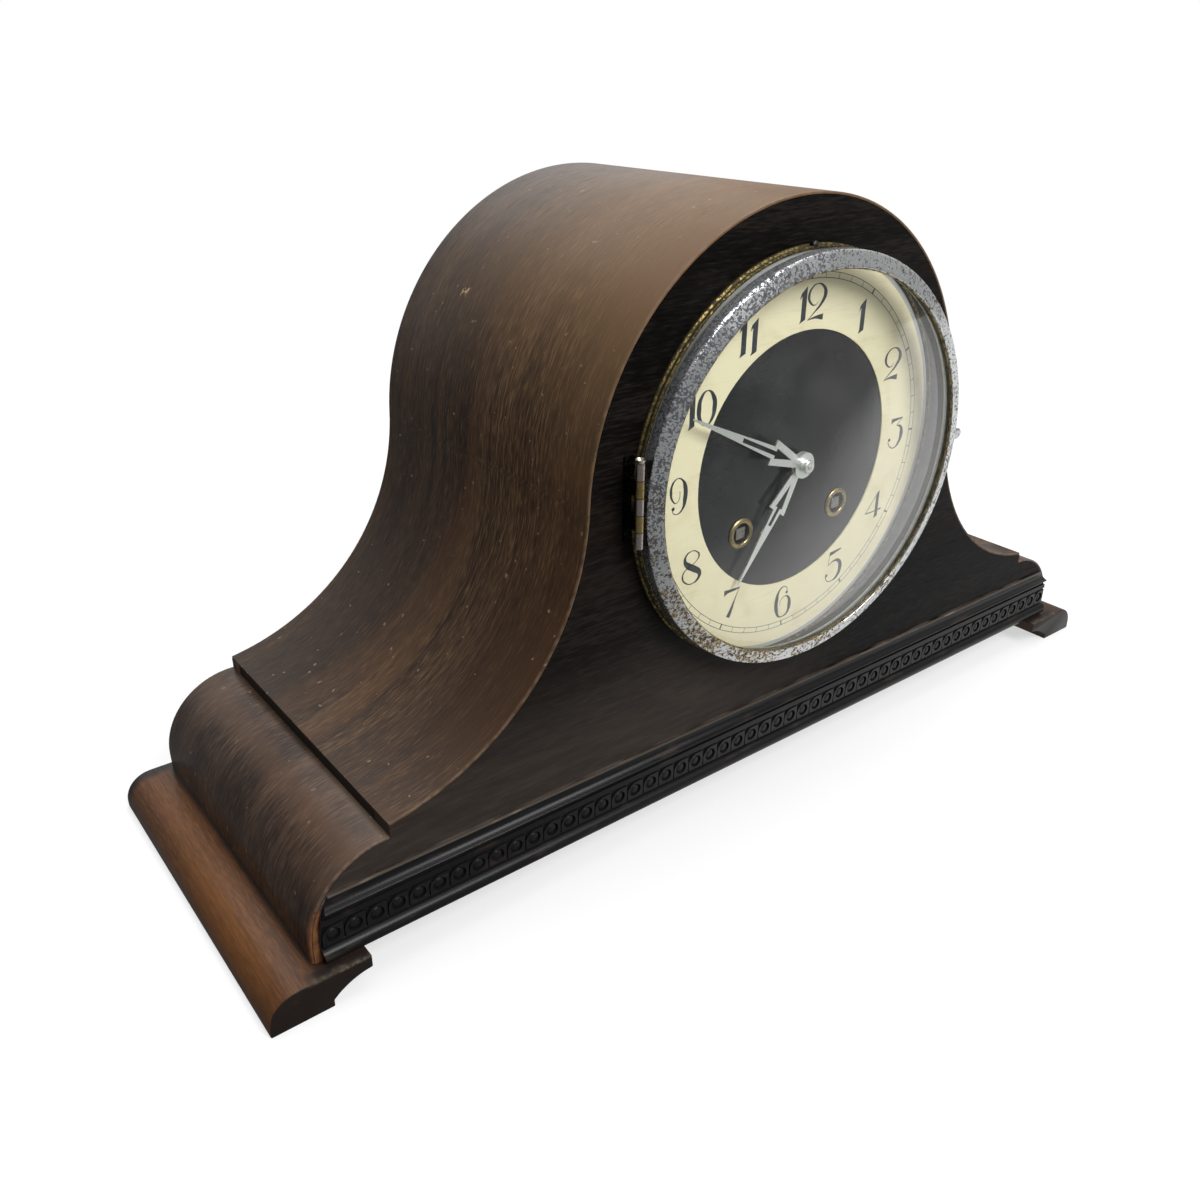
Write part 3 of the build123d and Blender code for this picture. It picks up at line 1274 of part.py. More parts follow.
panel = case_outline()
parts = {
    "front_panel": slab(panel, 0, FRONT_PANEL) - rod(CENTRE, DIAL_HOLE, 0, FRONT_PANEL),
    "back_panel": slab(panel, BACK_INSIDE, CASE_DEPTH) - slab(door_face(0), BACK_INSIDE, CASE_DEPTH),
    "hat_wrap": slab(hat_band(VENEER, WRAP_BACK), FRONT_PANEL, BACK_INSIDE),
    "hat_veneer": slab(hat_band(0, VENEER), 0, CASE_DEPTH),
    "shoulder_left": shoulder_block(-1),
    "shoulder_right": shoulder_block(1),
    "shoulder_veneers": group(shoulder_veneer(side) for side in (-1, 1)),
    "foot_left": foot_rail(-1),
    "foot_right": foot_rail(1),
    "bottom_board": bottom_board(),
    "front_moulding": front_moulding(),
    "bezel_seat_ring": seat_ring(),
    "bezel_hinge_fixed": hinge_leaf(False),
    "bezel_hinge_pin": hinge_pin(),
    "dial_plate": dial_plate(),
    "chapter_ring": chapter_ring(),
    "winding_grommets": group(grommet(place) for place in (TIME_BARREL, STRIKE_BARREL)),
    "front_plate": front_plate(),
    "back_plate": back_plate(),
    "pillars": group(pillar(place) for place in POSTS),
    "pillar_nuts": group(pillar_nut(place) for place in POSTS),
    "movement_posts": group(rod(place, POST_RADIUS, FRONT_PANEL, PLATE_FRONT) for place in POSTS),
    "pendulum_cock": pendulum_cock(),
    "gong_block": gong_block(),
    "gong_rods": group(gong_rod(index) for index in range(GONG_COUNT)),
    "door_hinge_fixed": group(butt_leaf(height, -1, (0, 2)) for height in butt_heights()),
    "door_hinge_pins": group(butt_pin(height) for height in butt_heights()),
    "back_door": slab(door_face(DOOR_GAP), CASE_DEPTH - DOOR_THICK, CASE_DEPTH),
    "door_hinge_moving": group(butt_leaf(height, 1, (1,)) for height in butt_heights()),
    "door_knob": door_knob(),
    "bezel_rim": ajar(bezel_rim()),
    "bezel_glass": ajar(bezel_glass()),
    "glass_ring": ajar(glass_ring()),
    "bezel_hinge_moving": ajar(hinge_leaf(True)),
    "minute_hand": hand(MINUTE_HAND, MINUTE_SLOT, MINUTE_TURN, MINUTE_HAND_REACH, CANNON_PIPE),
    "hand_nut": hand_nut(),
    "cannon_pinion": cannon_pinion(),
    "hour_hand": hand(HOUR_HAND, HOUR_SLOT, HOUR_TURN, HOUR_HAND_REACH, CANNON_PIPE + RUN + HOUR_WALL),
    "hour_wheel": hour_wheel(),
    "minute_wheel": minute_wheel(),
    "time_barrel": barrel(TIME_BARREL, SECOND),
    "time_mainspring": mainspring(TIME_BARREL),
    "time_winding_arbor": winding_arbor(TIME_BARREL),
    "time_click": click(TIME_BARREL),
    "second_wheel": second_wheel(SECOND, TIME_BARREL, CENTRE),
    "centre_wheel": centre_wheel(),
    "third_wheel": third_wheel(),
    "escape_wheel": escape_wheel(),
    "strike_barrel": barrel(STRIKE_BARREL, PIN_WHEEL),
    "strike_mainspring": mainspring(STRIKE_BARREL),
    "strike_winding_arbor": winding_arbor(STRIKE_BARREL),
    "strike_click": click(STRIKE_BARREL),
    "pin_wheel": pin_wheel(),
    "lock_wheel": lock_wheel(),
    "fly": fly(),
    "hammers": hammers(),
    "anchor": anchor(),
    "pendulum_rod": pendulum_rod(),
    "pendulum_bob": pendulum_bob(),
    "rating_nut": rating_nut(),
}

# The whole clock is centred front to back over the origin
extents = [shape.bounding_box() for shape in parts.values()]
front_end = min(extent.min.Y for extent in extents)
back_end = max(extent.max.Y for extent in extents)
to_centre = Pos(0, -(front_end + back_end) / 2, 0)
os.makedirs("parts", exist_ok=True)
for name, shape in parts.items():
    export_step(to_centre * shape, f"parts/{name}.step")
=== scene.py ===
"""Dresses a hat-shaped mantel clock: bent walnut case, carved base, round dial under a chromed bezel."""

import json
import logging
import math
from dataclasses import dataclass
from enum import Enum
from typing import Callable, Iterable, Sequence

import bmesh
import bpy
from bmesh.types import BMEdge, BMFace, BMVert
from mathutils import Matrix, Vector

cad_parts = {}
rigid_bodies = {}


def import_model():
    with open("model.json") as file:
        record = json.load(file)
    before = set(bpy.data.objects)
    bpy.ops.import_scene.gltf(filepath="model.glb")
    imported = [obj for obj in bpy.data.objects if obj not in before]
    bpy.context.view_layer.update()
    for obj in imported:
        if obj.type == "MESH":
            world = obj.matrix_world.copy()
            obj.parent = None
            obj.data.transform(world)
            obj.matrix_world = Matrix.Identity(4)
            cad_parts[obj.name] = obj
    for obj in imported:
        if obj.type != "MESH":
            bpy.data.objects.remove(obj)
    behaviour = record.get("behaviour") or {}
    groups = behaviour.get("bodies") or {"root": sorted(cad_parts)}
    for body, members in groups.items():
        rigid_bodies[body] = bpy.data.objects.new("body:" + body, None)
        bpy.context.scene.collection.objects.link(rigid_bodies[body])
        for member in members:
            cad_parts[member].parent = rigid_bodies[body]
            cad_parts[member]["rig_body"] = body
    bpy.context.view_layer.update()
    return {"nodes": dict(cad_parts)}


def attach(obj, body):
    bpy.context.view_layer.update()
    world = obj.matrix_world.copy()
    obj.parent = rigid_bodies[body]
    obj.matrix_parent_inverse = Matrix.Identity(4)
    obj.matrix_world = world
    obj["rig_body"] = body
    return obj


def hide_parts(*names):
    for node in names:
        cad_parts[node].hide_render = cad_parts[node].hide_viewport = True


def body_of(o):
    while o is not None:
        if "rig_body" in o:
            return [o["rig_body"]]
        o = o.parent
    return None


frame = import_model()
log = logging.getLogger("mantel_clock")

Piece = bpy.types.Object
Colour = tuple[float, float, float]
Point = tuple[float, float, float]
Pair = tuple[float, float]
Pairs = tuple[Pair, ...]
Band = tuple[Pair, Pair]

FRONT = -0.0617354
BACK = 0.0745646
DIAL = Vector((0.0, FRONT, 0.1402))
WIDTH_AXIS = Vector((1.0, 0.0, 0.0))
DEPTH_AXIS = Vector((0.0, 1.0, 0.0))
HEIGHT_AXIS = Vector((0.0, 0.0, 1.0))
TINY = 1e-6
WHITE = (1.0, 1.0, 1.0)
GRAIN_MAP = "grain"


class Socket:
    """One output of a node, on which Python's operators add Math nodes."""

    def __init__(self, graph: "Graph", port: bpy.types.NodeSocket) -> None:
        """Keeps the socket and the graph that it belongs to."""
        self.graph = graph
        self.port = port

    def _maths(self, operation: str, *values: "Number") -> "Socket":
        """Adds a Math node.

        Args:
            operation: The Math node's operation.
            values: Its inputs in order.

        Returns:
            The node's result.
        """
        return self.graph.node("ShaderNodeMath", {"operation": operation}, dict(enumerate(values)))

    def __add__(self, other: "Number") -> "Socket":
        """Sum."""
        return self._maths("ADD", self, other)

    def __radd__(self, other: "Number") -> "Socket":
        """Sum with a number on the left."""
        return self._maths("ADD", other, self)

    def __sub__(self, other: "Number") -> "Socket":
        """Difference."""
        return self._maths("SUBTRACT", self, other)

    def __rsub__(self, other: "Number") -> "Socket":
        """Difference from a number on the left."""
        return self._maths("SUBTRACT", other, self)

    def __mul__(self, other: "Number") -> "Socket":
        """Product."""
        return self._maths("MULTIPLY", self, other)

    def __rmul__(self, other: "Number") -> "Socket":
        """Product with a number on the left."""
        return self._maths("MULTIPLY", other, self)

    def __pow__(self, other: "Number") -> "Socket":
        """Power."""
        return self._maths("POWER", self, other)

    def __abs__(self) -> "Socket":
        """Size without its sign."""
        return self._maths("ABSOLUTE", self)

    def most(self, other: "Number") -> "Socket":
        """The larger of two values."""
        return self._maths("MAXIMUM", self, other)

    def rise(self, low: float, high: float) -> "Socket":
        """Smooth step.

        Args:
            low: Value at which the step is 0.
            high: Value at which it is 1, which may be the smaller of the two.

        Returns:
            The step, from 0 to 1.
        """
        return self.graph.node(
            "ShaderNodeMapRange", {"interpolation_type": "SMOOTHSTEP"}, {0: self, 1: low, 2: high}
        )

    def band(self, start: Pair, stop: Pair) -> "Socket":
        """Smooth band: the product of a step up and a step down."""
        return self.rise(*start) * self.rise(*stop)


Number = float | int | Socket
Value = Number | Sequence[float] | str


class Graph:
    """The node tree of one material or of the world."""

    def __init__(self, tree: bpy.types.NodeTree) -> None:
        """Empties the tree."""
        self.tree = tree
        self.tree.nodes.clear()

    def node(
        self,
        kind: str,
        settings: dict[str, object] | None = None,
        inputs: dict[int | str, Value] | None = None,
        output: int | str = 0,
    ) -> Socket:
        """Adds a node.

        Args:
            kind: The node's type.
            settings: Its properties, set first; "stops" are a ramp's places and colours.
            inputs: Values or links of its sockets.
            output: The output to give back.

        Returns:
            That output.
        """
        made = self.tree.nodes.new(kind)
        for name, value in (settings or {}).items():
            if name == "stops":
                self._stops(made.color_ramp, value)
            else:
                setattr(made, name, value)
        for key, value in (inputs or {}).items():
            socket = made.inputs[key]
            if isinstance(value, Socket):
                self.tree.links.new(value.port, socket)
            elif socket.type == "RGBA":
                socket.default_value = (*value, 1.0)
            else:
                socket.default_value = value
        return Socket(self, made.outputs[output])

    def _stops(self, ramp: bpy.types.ColorRamp, stops: Sequence[tuple[float, Colour]]) -> None:
        """Puts a ramp's stops in place.

        Args:
            ramp: The ramp to fill.
            stops: Places and colours, in order.
        """
        while len(ramp.elements) < len(stops):
            ramp.elements.new(1.0)
        for element, (place, colour) in zip(ramp.elements, stops):
            element.position = place
            element.color = (*colour, 1.0)

    def place(self) -> Socket:
        """Object coordinates, in metres."""
        return self.node("ShaderNodeTexCoord", output="Object")

    def from_dial(self) -> Socket:
        """Object coordinates with the dial's centre at zero."""
        return self.node("ShaderNodeMapping", {}, {"Vector": self.place(), "Location": tuple(-DIAL)})

    def part(self, vector: Socket, axis: str) -> Socket:
        """One coordinate of a vector."""
        return self.node("ShaderNodeSeparateXYZ", {}, {0: vector}, axis)

    def radius(self) -> Socket:
        """Distance from the dial's axis."""
        place = self.from_dial()
        return (self.part(place, "X") ** 2.0 + self.part(place, "Z") ** 2.0) ** 0.5

    def stretch(self, vector: Socket, scale: Point) -> Socket:
        """Vector with each coordinate multiplied."""
        return self.node("ShaderNodeVectorMath", {"operation": "MULTIPLY"}, {0: vector, 1: scale})

    def noise(self, vector: Socket, scale: float = 1.0, detail: float = 3.0, bend: float = 0.0) -> Socket:
        """Noise texture.

        Args:
            vector: Where it is read.
            scale: Repeats per metre.
            detail: Octaves.
            bend: Distortion.

        Returns:
            Its value, about 0.5 on average.
        """
        return self.node(
            "ShaderNodeTexNoise", {}, {"Vector": vector, "Scale": scale, "Detail": detail, "Distortion": bend}
        )

    def streaks(
        self, vector: Socket, along: float, across: float, detail: float, bend: float = 0.0
    ) -> Socket:
        """Noise drawn out along the first coordinate.

        Args:
            vector: Where it is read.
            along: Repeats per metre along that coordinate.
            across: Repeats per metre along the other two.
            detail: Octaves.
            bend: Distortion.

        Returns:
            Its value, about 0.5 on average.
        """
        return self.noise(self.stretch(vector, (along, across, across)), detail=detail, bend=bend)

    def ramp(self, value: Socket, stops: Sequence[tuple[float, Colour]]) -> Socket:
        """Colour ramp over a value."""
        return self.node("ShaderNodeValToRGB", {"stops": stops}, {0: value})

    def blend(self, share: Number, first: Socket | Colour, second: Socket | Colour) -> Socket:
        """Mixes two colours.

        Args:
            share: Share of the second.
            first: First colour.
            second: Second colour.

        Returns:
            The mixed colour.
        """
        return self.node("ShaderNodeMix", {"data_type": "RGBA"}, {0: share, 6: first, 7: second}, 2)

    def bump(self, height: Socket, depth: float, strength: float = 1.0) -> Socket:
        """Normal from a height, with the depth in metres."""
        return self.node("ShaderNodeBump", {}, {"Height": height, "Distance": depth, "Strength": strength})

    def surface(self, inputs: dict[int | str, Value]) -> None:
        """Ends the tree in a Principled shader with these sockets."""
        self.end(self.node("ShaderNodeBsdfPrincipled", {}, inputs))

    def end(self, shader: Socket, kind: str = "ShaderNodeOutputMaterial") -> None:
        """Ends the tree in a shader."""
        last = self.tree.nodes.new(kind)
        self.tree.links.new(shader.port, last.inputs["Surface"])


class Grain(Enum):
    """Which way the fibres of a wood run."""

    PROFILE = "along the bend"
    WIDTH = "X"
    DEPTH = "Y"
    HEIGHT = "Z"


@dataclass(frozen=True)
class Finish:
    """A finish that makes its material once.

    Attributes:
        name: The material's name.
        slot: The record's slot that it belongs to; not used.
    """

    name: str
    slot: str

    def shade(self, graph: Graph) -> None:
        """Fills the node tree."""
        raise NotImplementedError

    def material(self) -> bpy.types.Material:
        """Makes the material on its first use.

        Returns:
            The material.
        """
        found = bpy.data.materials.get(self.name)
        if found is None:
            found = bpy.data.materials.new(self.name)
            found.use_nodes = True
            self.shade(Graph(found.node_tree))
        return found


@dataclass(frozen=True)
class Wood(Finish):
    """Stained wood with bands, figure, fibres and pores.

    Its kinds add zones of wear and dirt, and zones of painted highlight and shade. Their fields that end in
    _up,
    _deep, _across, _out and _over hold the heights, depths, places across, distances from the clock's middle
    and lengths over the bend between which a zone fades in, or in and out.

    Attributes:
        grain: Which way the fibres run.
        deep: Colour of the darkest fibres.
        middle: Colour of most of the wood.
        pale: Colour of the lightest fibres.
        warm: Colour of the orange patches.
        warmth: How much the patches show.
        clouded: How much the dark clouds show.
        rough: Roughness of the polish.
        glint: Specular level.
        fibres: Fibres across a metre.
    """

    grain: Grain
    deep: Colour
    middle: Colour
    pale: Colour
    warm: Colour
    warmth: float = 0.4
    clouded: float = 0.3
    rough: float = 0.42
    glint: float = 0.4
    fibres: float = 900.0

    def along(self, graph: Graph) -> Socket:
        """Coordinates with the first along the fibres.

        Args:
            graph: The material's graph.

        Returns:
            A vector in metres.
        """
        if self.grain is Grain.PROFILE:
            return graph.node("ShaderNodeUVMap", {"uv_map": GRAIN_MAP})
        order = {Grain.WIDTH: "XZY", Grain.DEPTH: "YXZ", Grain.HEIGHT: "ZXY"}[self.grain]
        place = graph.place()
        parts = {index: graph.part(place, axis) for index, axis in enumerate(order)}
        return graph.node("ShaderNodeCombineXYZ", {}, parts)

    def tint(self, graph: Graph, colour: Socket) -> Socket:
        """Local wear, dirt and painted light, none on plain wood."""
        return colour

    def shade(self, graph: Graph) -> None:
        """Lays bands, figure, fibres and pores over each other.

        Args:
            graph: The material's graph.
        """
        along = self.along(graph)
        bands = graph.streaks(along, 1.4, 26.0, 2.0, 0.3)
        figure = graph.streaks(along, 5.0, 120.0, 4.0, 0.5)
        fibre = graph.streaks(along, 16.0, self.fibres, 3.0)
        dash = graph.streaks(along, 170.0, 1.5 * self.fibres, 2.0)
        pore = graph.streaks(along, 75.0, 2.6 * self.fibres, 1.0)
        tone = bands * 0.25 + figure * 0.2 + fibre * 0.2 + dash * 0.35
        colour = graph.ramp(tone, [(0.42, self.deep), (0.5, self.middle), (0.59, self.pale)])
        cloud = graph.streaks(along, 4.0, 30.0, 3.0, 0.4)
        colour = graph.blend(cloud.rise(0.5, 0.66) * self.warmth, colour, self.warm)
        colour = graph.blend(cloud.rise(0.48, 0.36) * self.clouded, colour, self.deep)
        colour = graph.blend(dash.rise(0.58, 0.72) * 0.5, colour, self.pale)
        open_pore = pore.rise(0.6, 0.7)
        colour = graph.blend(open_pore * 0.45, colour, self.deep)
        self.end(graph, self.tint(graph, colour), fibre, open_pore)

    def end(self, graph: Graph, colour: Socket, fibre: Socket, pore: Socket) -> None:
        """Ends in a satin polish that follows the fibres.

        Args:
            graph: The material's graph.
            colour: Colour of the wood.
            fibre: Height of the fibres.
            pore: Mask of the open pores.
        """
        graph.surface(
            {
                "Base Color": colour,
                "Roughness": fibre * 0.18 + pore * 0.15 + (self.rough - 0.09),
                "Normal": graph.bump(fibre - pore * 0.8, 0.00006, 0.45),
                "Specular IOR Level": self.glint,
            }
        )


@dataclass(frozen=True)
class HatVeneer(Wood):
    """Walnut veneer of the hat, pale in front, dark at the back and low on the flares, with a painted
    highlight on top and painted shade on its sides.

    Attributes:
        worn: Colour of the rubbed edge, which is also a painted highlight, and of the specks.
        raw: Colour of the chip.
        chip: Place of a small chip on the left of the hump.
    """

    worn: Colour = (0.2, 0.135, 0.085)
    raw: Colour = (0.4, 0.27, 0.13)
    chip: Point = (-0.077, 0.0387, 0.1956)
    back_deep: Pair = (0.0, 0.06)
    top_up: Pair = (0.165, 0.23)
    top_deep: Pair = (0.08, -0.01)
    waist_up: Pair = (0.16, 0.11)
    brow_up: Pair = (0.125, 0.19)
    brow_deep: Pair = (-0.02, FRONT)
    hollow_up: Band = ((0.06, 0.08), (0.13, 0.1))
    hollow_deep: Pair = (0.0, -0.04)
    glow_up: Pair = (0.09, 0.15)
    glow_deep: Pair = (-0.01, FRONT)
    rim_deep: Pair = (FRONT + 0.0012, FRONT + 0.0003)

    def tint(self, graph: Graph, colour: Socket) -> Socket:
        """Adds the pale and dark zones, with a painted highlight on top and painted shade on the sides below
        the hump, the warmer front, the rubbed edge with its painted highlight, the specks and the chip.

        Args:
            graph: The material's graph.
            colour: Colour of the plain wood.

        Returns:
            The colour with its wear.
        """
        place = graph.place()
        depth = graph.part(place, "Y")
        drift = graph.noise(graph.stretch(place, (30.0, 4.0, 30.0)), detail=2.0)
        height = graph.part(place, "Z") + drift * 0.02
        colour = graph.blend((depth + drift * 0.03).rise(*self.back_deep) * 0.5, colour, self.deep)
        # painted highlight: the top is made paler where the overhead light falls on it
        colour = graph.blend(height.rise(*self.top_up) * depth.rise(*self.top_deep) * 0.6, colour, self.pale)
        # painted shade: the sides below the hump are darkened where less light falls on them
        colour = graph.blend(height.rise(*self.waist_up) * 0.3, colour, self.deep)
        brow = height.rise(*self.brow_up) * depth.rise(*self.brow_deep)
        colour = graph.blend(brow * 0.4, colour, self.pale)
        hollow = height.band(*self.hollow_up) * depth.rise(*self.hollow_deep)
        colour = graph.blend(hollow * 0.65, colour, self.deep)
        warm = depth.rise(*self.glow_deep) * drift.rise(0.3, 0.6) * (height.rise(*self.glow_up) * 0.3 + 0.2)
        colour = graph.blend(warm, colour, self.warm)
        rubbed = graph.noise(place, 260.0).rise(0.4, 0.6)
        # the pale front edge is partly rubbed wear and partly a painted highlight
        colour = graph.blend(depth.rise(*self.rim_deep) * (rubbed * 0.25 + 0.15), colour, self.worn)
        speck = graph.noise(place, 430.0, 0.0).rise(0.815, 0.84)
        colour = graph.blend(speck * 0.7, colour, self.worn)
        apart = graph.node(
            "ShaderNodeVectorMath", {"operation": "DISTANCE"}, {0: place, 1: self.chip}, "Value"
        )
        ragged = apart + graph.noise(place, 750.0, 3.0) * 0.011
        return graph.blend(ragged.rise(0.0068, 0.0062), colour, self.raw)


@dataclass(frozen=True)
class WrapWood(Wood):
    """Bent wood under the veneer, its ends painted dark as the shade in the gap over the shoulders, where
    they show.

    Attributes:
        stain: Colour of the ends, a painted shade.
    """

    stain: Colour = (0.012, 0.008, 0.006)
    ends_out: Pair = (0.165, 0.17)

    def tint(self, graph: Graph, colour: Socket) -> Socket:
        """Darkens the two ends with painted shade."""
        # painted shade: the ends stand for the dark gap over the shoulders
        ends = abs(graph.part(graph.place(), "X")).rise(*self.ends_out)
        return graph.blend(ends, colour, self.stain)


@dataclass(frozen=True)
class ShoulderVeneer(Wood):
    """Dark veneer of the shoulders: a painted highlight strip and a painted shade strip along the bend, dusty
    by the step, paler in front, a painted highlight on the front edge and bare at the low front corner.

    Attributes:
        dust: Colour of the dust and of the specks.
        worn: Colour of the painted highlight on the front edge.
        bare: Colour of the bare corner.
    """

    dust: Colour = (0.15, 0.125, 0.085)
    worn: Colour = (0.16, 0.11, 0.08)
    bare: Colour = (0.19, 0.075, 0.03)
    warm_over: Band = ((0.008, 0.013), (0.024, 0.016))
    dark_over: Band = ((0.02, 0.029), (0.056, 0.044))
    step_out: Pair = (0.1815, 0.1775)
    step_deep: Pair = (-0.02, -0.08)
    fore_up: Pair = (0.03, 0.042)
    fore_deep: Pair = (FRONT + 0.03, FRONT + 0.006)
    rim_deep: Pair = (FRONT + 0.0013, FRONT + 0.0004)
    corner_up: Pair = (0.037, 0.027)
    corner_deep: Pair = (FRONT + 0.0052, FRONT + 0.0018)

    def tint(self, graph: Graph, colour: Socket) -> Socket:
        """Adds a painted highlight strip and a painted shade strip along the bend, dust by the step, the pale
        front, a painted highlight on the front edge and the bare corner.

        Args:
            graph: The material's graph.
            colour: Colour of the plain wood.

        Returns:
            The colour with its wear.
        """
        place = graph.place()
        over = abs(graph.part(self.along(graph), "X")) + graph.noise(place, 25.0, 2.0) * 0.006
        # painted highlight strip near the top of the bend, then a painted shade strip over its round
        colour = graph.blend(over.band(*self.warm_over) * 0.4, colour, self.warm)
        colour = graph.blend(over.band(*self.dark_over) * 0.3, colour, self.deep)
        across = abs(graph.part(place, "X"))
        depth = graph.part(place, "Y")
        height = graph.part(place, "Z")
        speck = graph.noise(place, 420.0)
        step = (across + speck * 0.004).rise(*self.step_out) * (depth - speck * 0.05).rise(*self.step_deep)
        colour = graph.blend(step * 0.4, colour, self.dust)
        fore = (depth + speck * 0.01).rise(*self.fore_deep) * height.rise(*self.fore_up)
        colour = graph.blend(fore * 0.5, colour, self.pale)
        colour = graph.blend(graph.noise(place, 380.0, 0.0).rise(0.81, 0.835) * 0.7, colour, self.dust)
        # painted highlight along the front edge
        edge = depth.rise(*self.rim_deep) * (speck.rise(0.4, 0.6) * 0.4 + 0.1)
        colour = graph.blend(edge, colour, self.worn)
        corner = height.rise(*self.corner_up) * (depth + speck * 0.003).rise(*self.corner_deep)
        return graph.blend(corner * 0.6, colour, self.bare)


@dataclass(frozen=True)
class FootWood(Wood):
    """Foot rails: orange-brown, the right one and all ends dark, the undersides and the nose's low side
    darker with painted shade, dusty in the front corner.

    Attributes:
        stain: Colour of the dark places and of the painted shade.
        dust: Colour of the dust.
    """

    stain: Colour = (0.011, 0.009, 0.0085)
    dust: Colour = (0.15, 0.12, 0.075)
    front_deep: Pair = (FRONT - 0.0063, FRONT - 0.0069)
    back_deep: Pair = (BACK, BACK + 0.005)
    nose_up: Pair = (0.009, 0.003)
    under_up: Pair = (0.0052, 0.0025)
    corner_out: Pair = (0.2096, 0.2076)
    corner_up: Pair = (0.0125, 0.0133)
    right_across: Pair = (0.0, 0.1)
    fore_deep: Pair = (FRONT + 0.03, FRONT)
    inner_out: Pair = (0.214, 0.209)
    inner_up: Pair = (0.0124, 0.0132)
    ahead_deep: Pair = (FRONT - 0.0005, FRONT - 0.002)
    settled_deep: Pair = (FRONT - 0.0025, FRONT - 0.006)

    def tint(self, graph: Graph, colour: Socket) -> Socket:
        """Darkens the right rail, the ends and the corners, paints shade on the nose's low side and on the
        underside, and adds dust.

        Args:
            graph: The material's graph.
            colour: Colour of the plain wood.

        Returns:
            The colour with its stains and painted shade.
        """
        place = graph.place()
        depth = graph.part(place, "Y")
        height = graph.part(place, "Z")
        across = abs(graph.part(place, "X"))
        drift = graph.noise(graph.stretch(place, (120.0, 40.0, 160.0)), detail=3.0)
        front = (depth + drift * 0.001).rise(*self.front_deep)
        back = (depth + drift * 0.008).rise(*self.back_deep)
        # painted shade: the nose's low side and the underside are darkened where less light falls
        nose = (height + drift * 0.004).rise(*self.nose_up) * 0.35
        under = (height + drift * 0.003).rise(*self.under_up) * 0.8
        corner = (across + drift * 0.002).rise(*self.corner_out) * height.rise(*self.corner_up) * 0.8
        right = graph.part(place, "X").rise(*self.right_across)
        fore = (depth + drift * 0.01).rise(*self.fore_deep) * 0.35
        dark = front.most(back).most(nose).most(under).most(corner).most(right.most(fore) * 0.75)
        colour = graph.blend(dark * 0.95, colour, self.stain)
        inner = height.rise(*self.inner_up) * (across + drift * 0.004).rise(*self.inner_out)
        ahead = (depth + drift * 0.003).rise(*self.ahead_deep)
        colour = graph.blend(inner * ahead * 0.85, colour, self.stain)
        speck = graph.noise(place, 700.0, 3.0).rise(0.35, 0.7)
        settled = (depth + drift * 0.004).rise(*self.settled_deep)
        return graph.blend(inner * settled * (speck * 0.5 + 0.15), colour, self.dust)


@dataclass(frozen=True)
class PanelWood(Wood):
    """Front panel: near black, hazy low on the left with dust and painted sheen, rubbed over the base
    moulding, bare at its low ends.

    Attributes:
        rub: Colour of the haze and of the rubbed line.
        bare: Colour of the bare ends.
    """

    rub: Colour = (0.115, 0.09, 0.076)
    bare: Colour = (0.2, 0.08, 0.03)
    line_up: Pair = (0.0397, 0.0386)
    haze_up: Pair = (0.1, 0.045)
    haze_across: Pair = (0.06, -0.06)
    ends_out: Pair = (0.2008, 0.2022)
    ends_up: Pair = (0.046, 0.038)

    def tint(self, graph: Graph, colour: Socket) -> Socket:
        """Adds the haze of dust and painted sheen, the rubbed line and the bare ends.

        Args:
            graph: The material's graph.
            colour: Colour of the plain wood.

        Returns:
            The colour with its wear.
        """
        place = graph.place()
        across = graph.part(place, "X")
        height = graph.part(place, "Z")
        ragged = graph.noise(graph.stretch(place, (60.0, 60.0, 400.0)), detail=3.0)
        line = height.rise(*self.line_up) * ragged.rise(0.4, 0.62)
        # the haze low on the left is partly dust and partly painted sheen
        haze = height.rise(*self.haze_up) * across.rise(*self.haze_across)
        colour = graph.blend(haze * (ragged.rise(0.3, 0.75) * 0.1 + 0.24), colour, self.rub)
        colour = graph.blend(line * 0.7, colour, self.rub)
        end = abs(across).rise(*self.ends_out) * height.rise(*self.ends_up)
        return graph.blend(end * (ragged.rise(0.3, 0.6) * 0.5 + 0.4), colour, self.bare)


@dataclass(frozen=True)
class Ebonised(Finish):
    """Black stain and polish, rubbed brown on the high places.

    Attributes:
        rough: Roughness of the polish.
        glint: Specular level.
        body: Colour of the stain.
        rubbed: Colour of the rubbed places.
        bare: Colour of the top edge, which is worn through.
        crest: Heights over which that edge starts.
    """

    rough: float
    glint: float
    body: Colour = (0.008, 0.0078, 0.0085)
    rubbed: Colour = (0.05, 0.033, 0.024)
    bare: Colour = (0.2, 0.165, 0.125)
    crest: Pair = (0.0378, 0.0382)

    def shade(self, graph: Graph) -> None:
        """Black with a grain that shows in the gloss.

        Args:
            graph: The material's graph.
        """
        place = graph.place()
        grain = graph.streaks(place, 30.0, 900.0, 3.0)
        worn = graph.streaks(place, 60.0, 300.0, 4.0).rise(0.55, 0.75)
        colour = graph.blend(worn * 0.5, self.body, self.rubbed)
        crest = graph.part(place, "Z").rise(*self.crest)
        graph.surface(
            {
                "Base Color": graph.blend(crest * (worn * 0.5 + 0.3), colour, self.bare),
                "Roughness": grain * 0.2 + worn * 0.15 + (self.rough - 0.1),
                "Normal": graph.bump(grain, 0.00005, 0.15),
                "Specular IOR Level": self.glint,
            }
        )


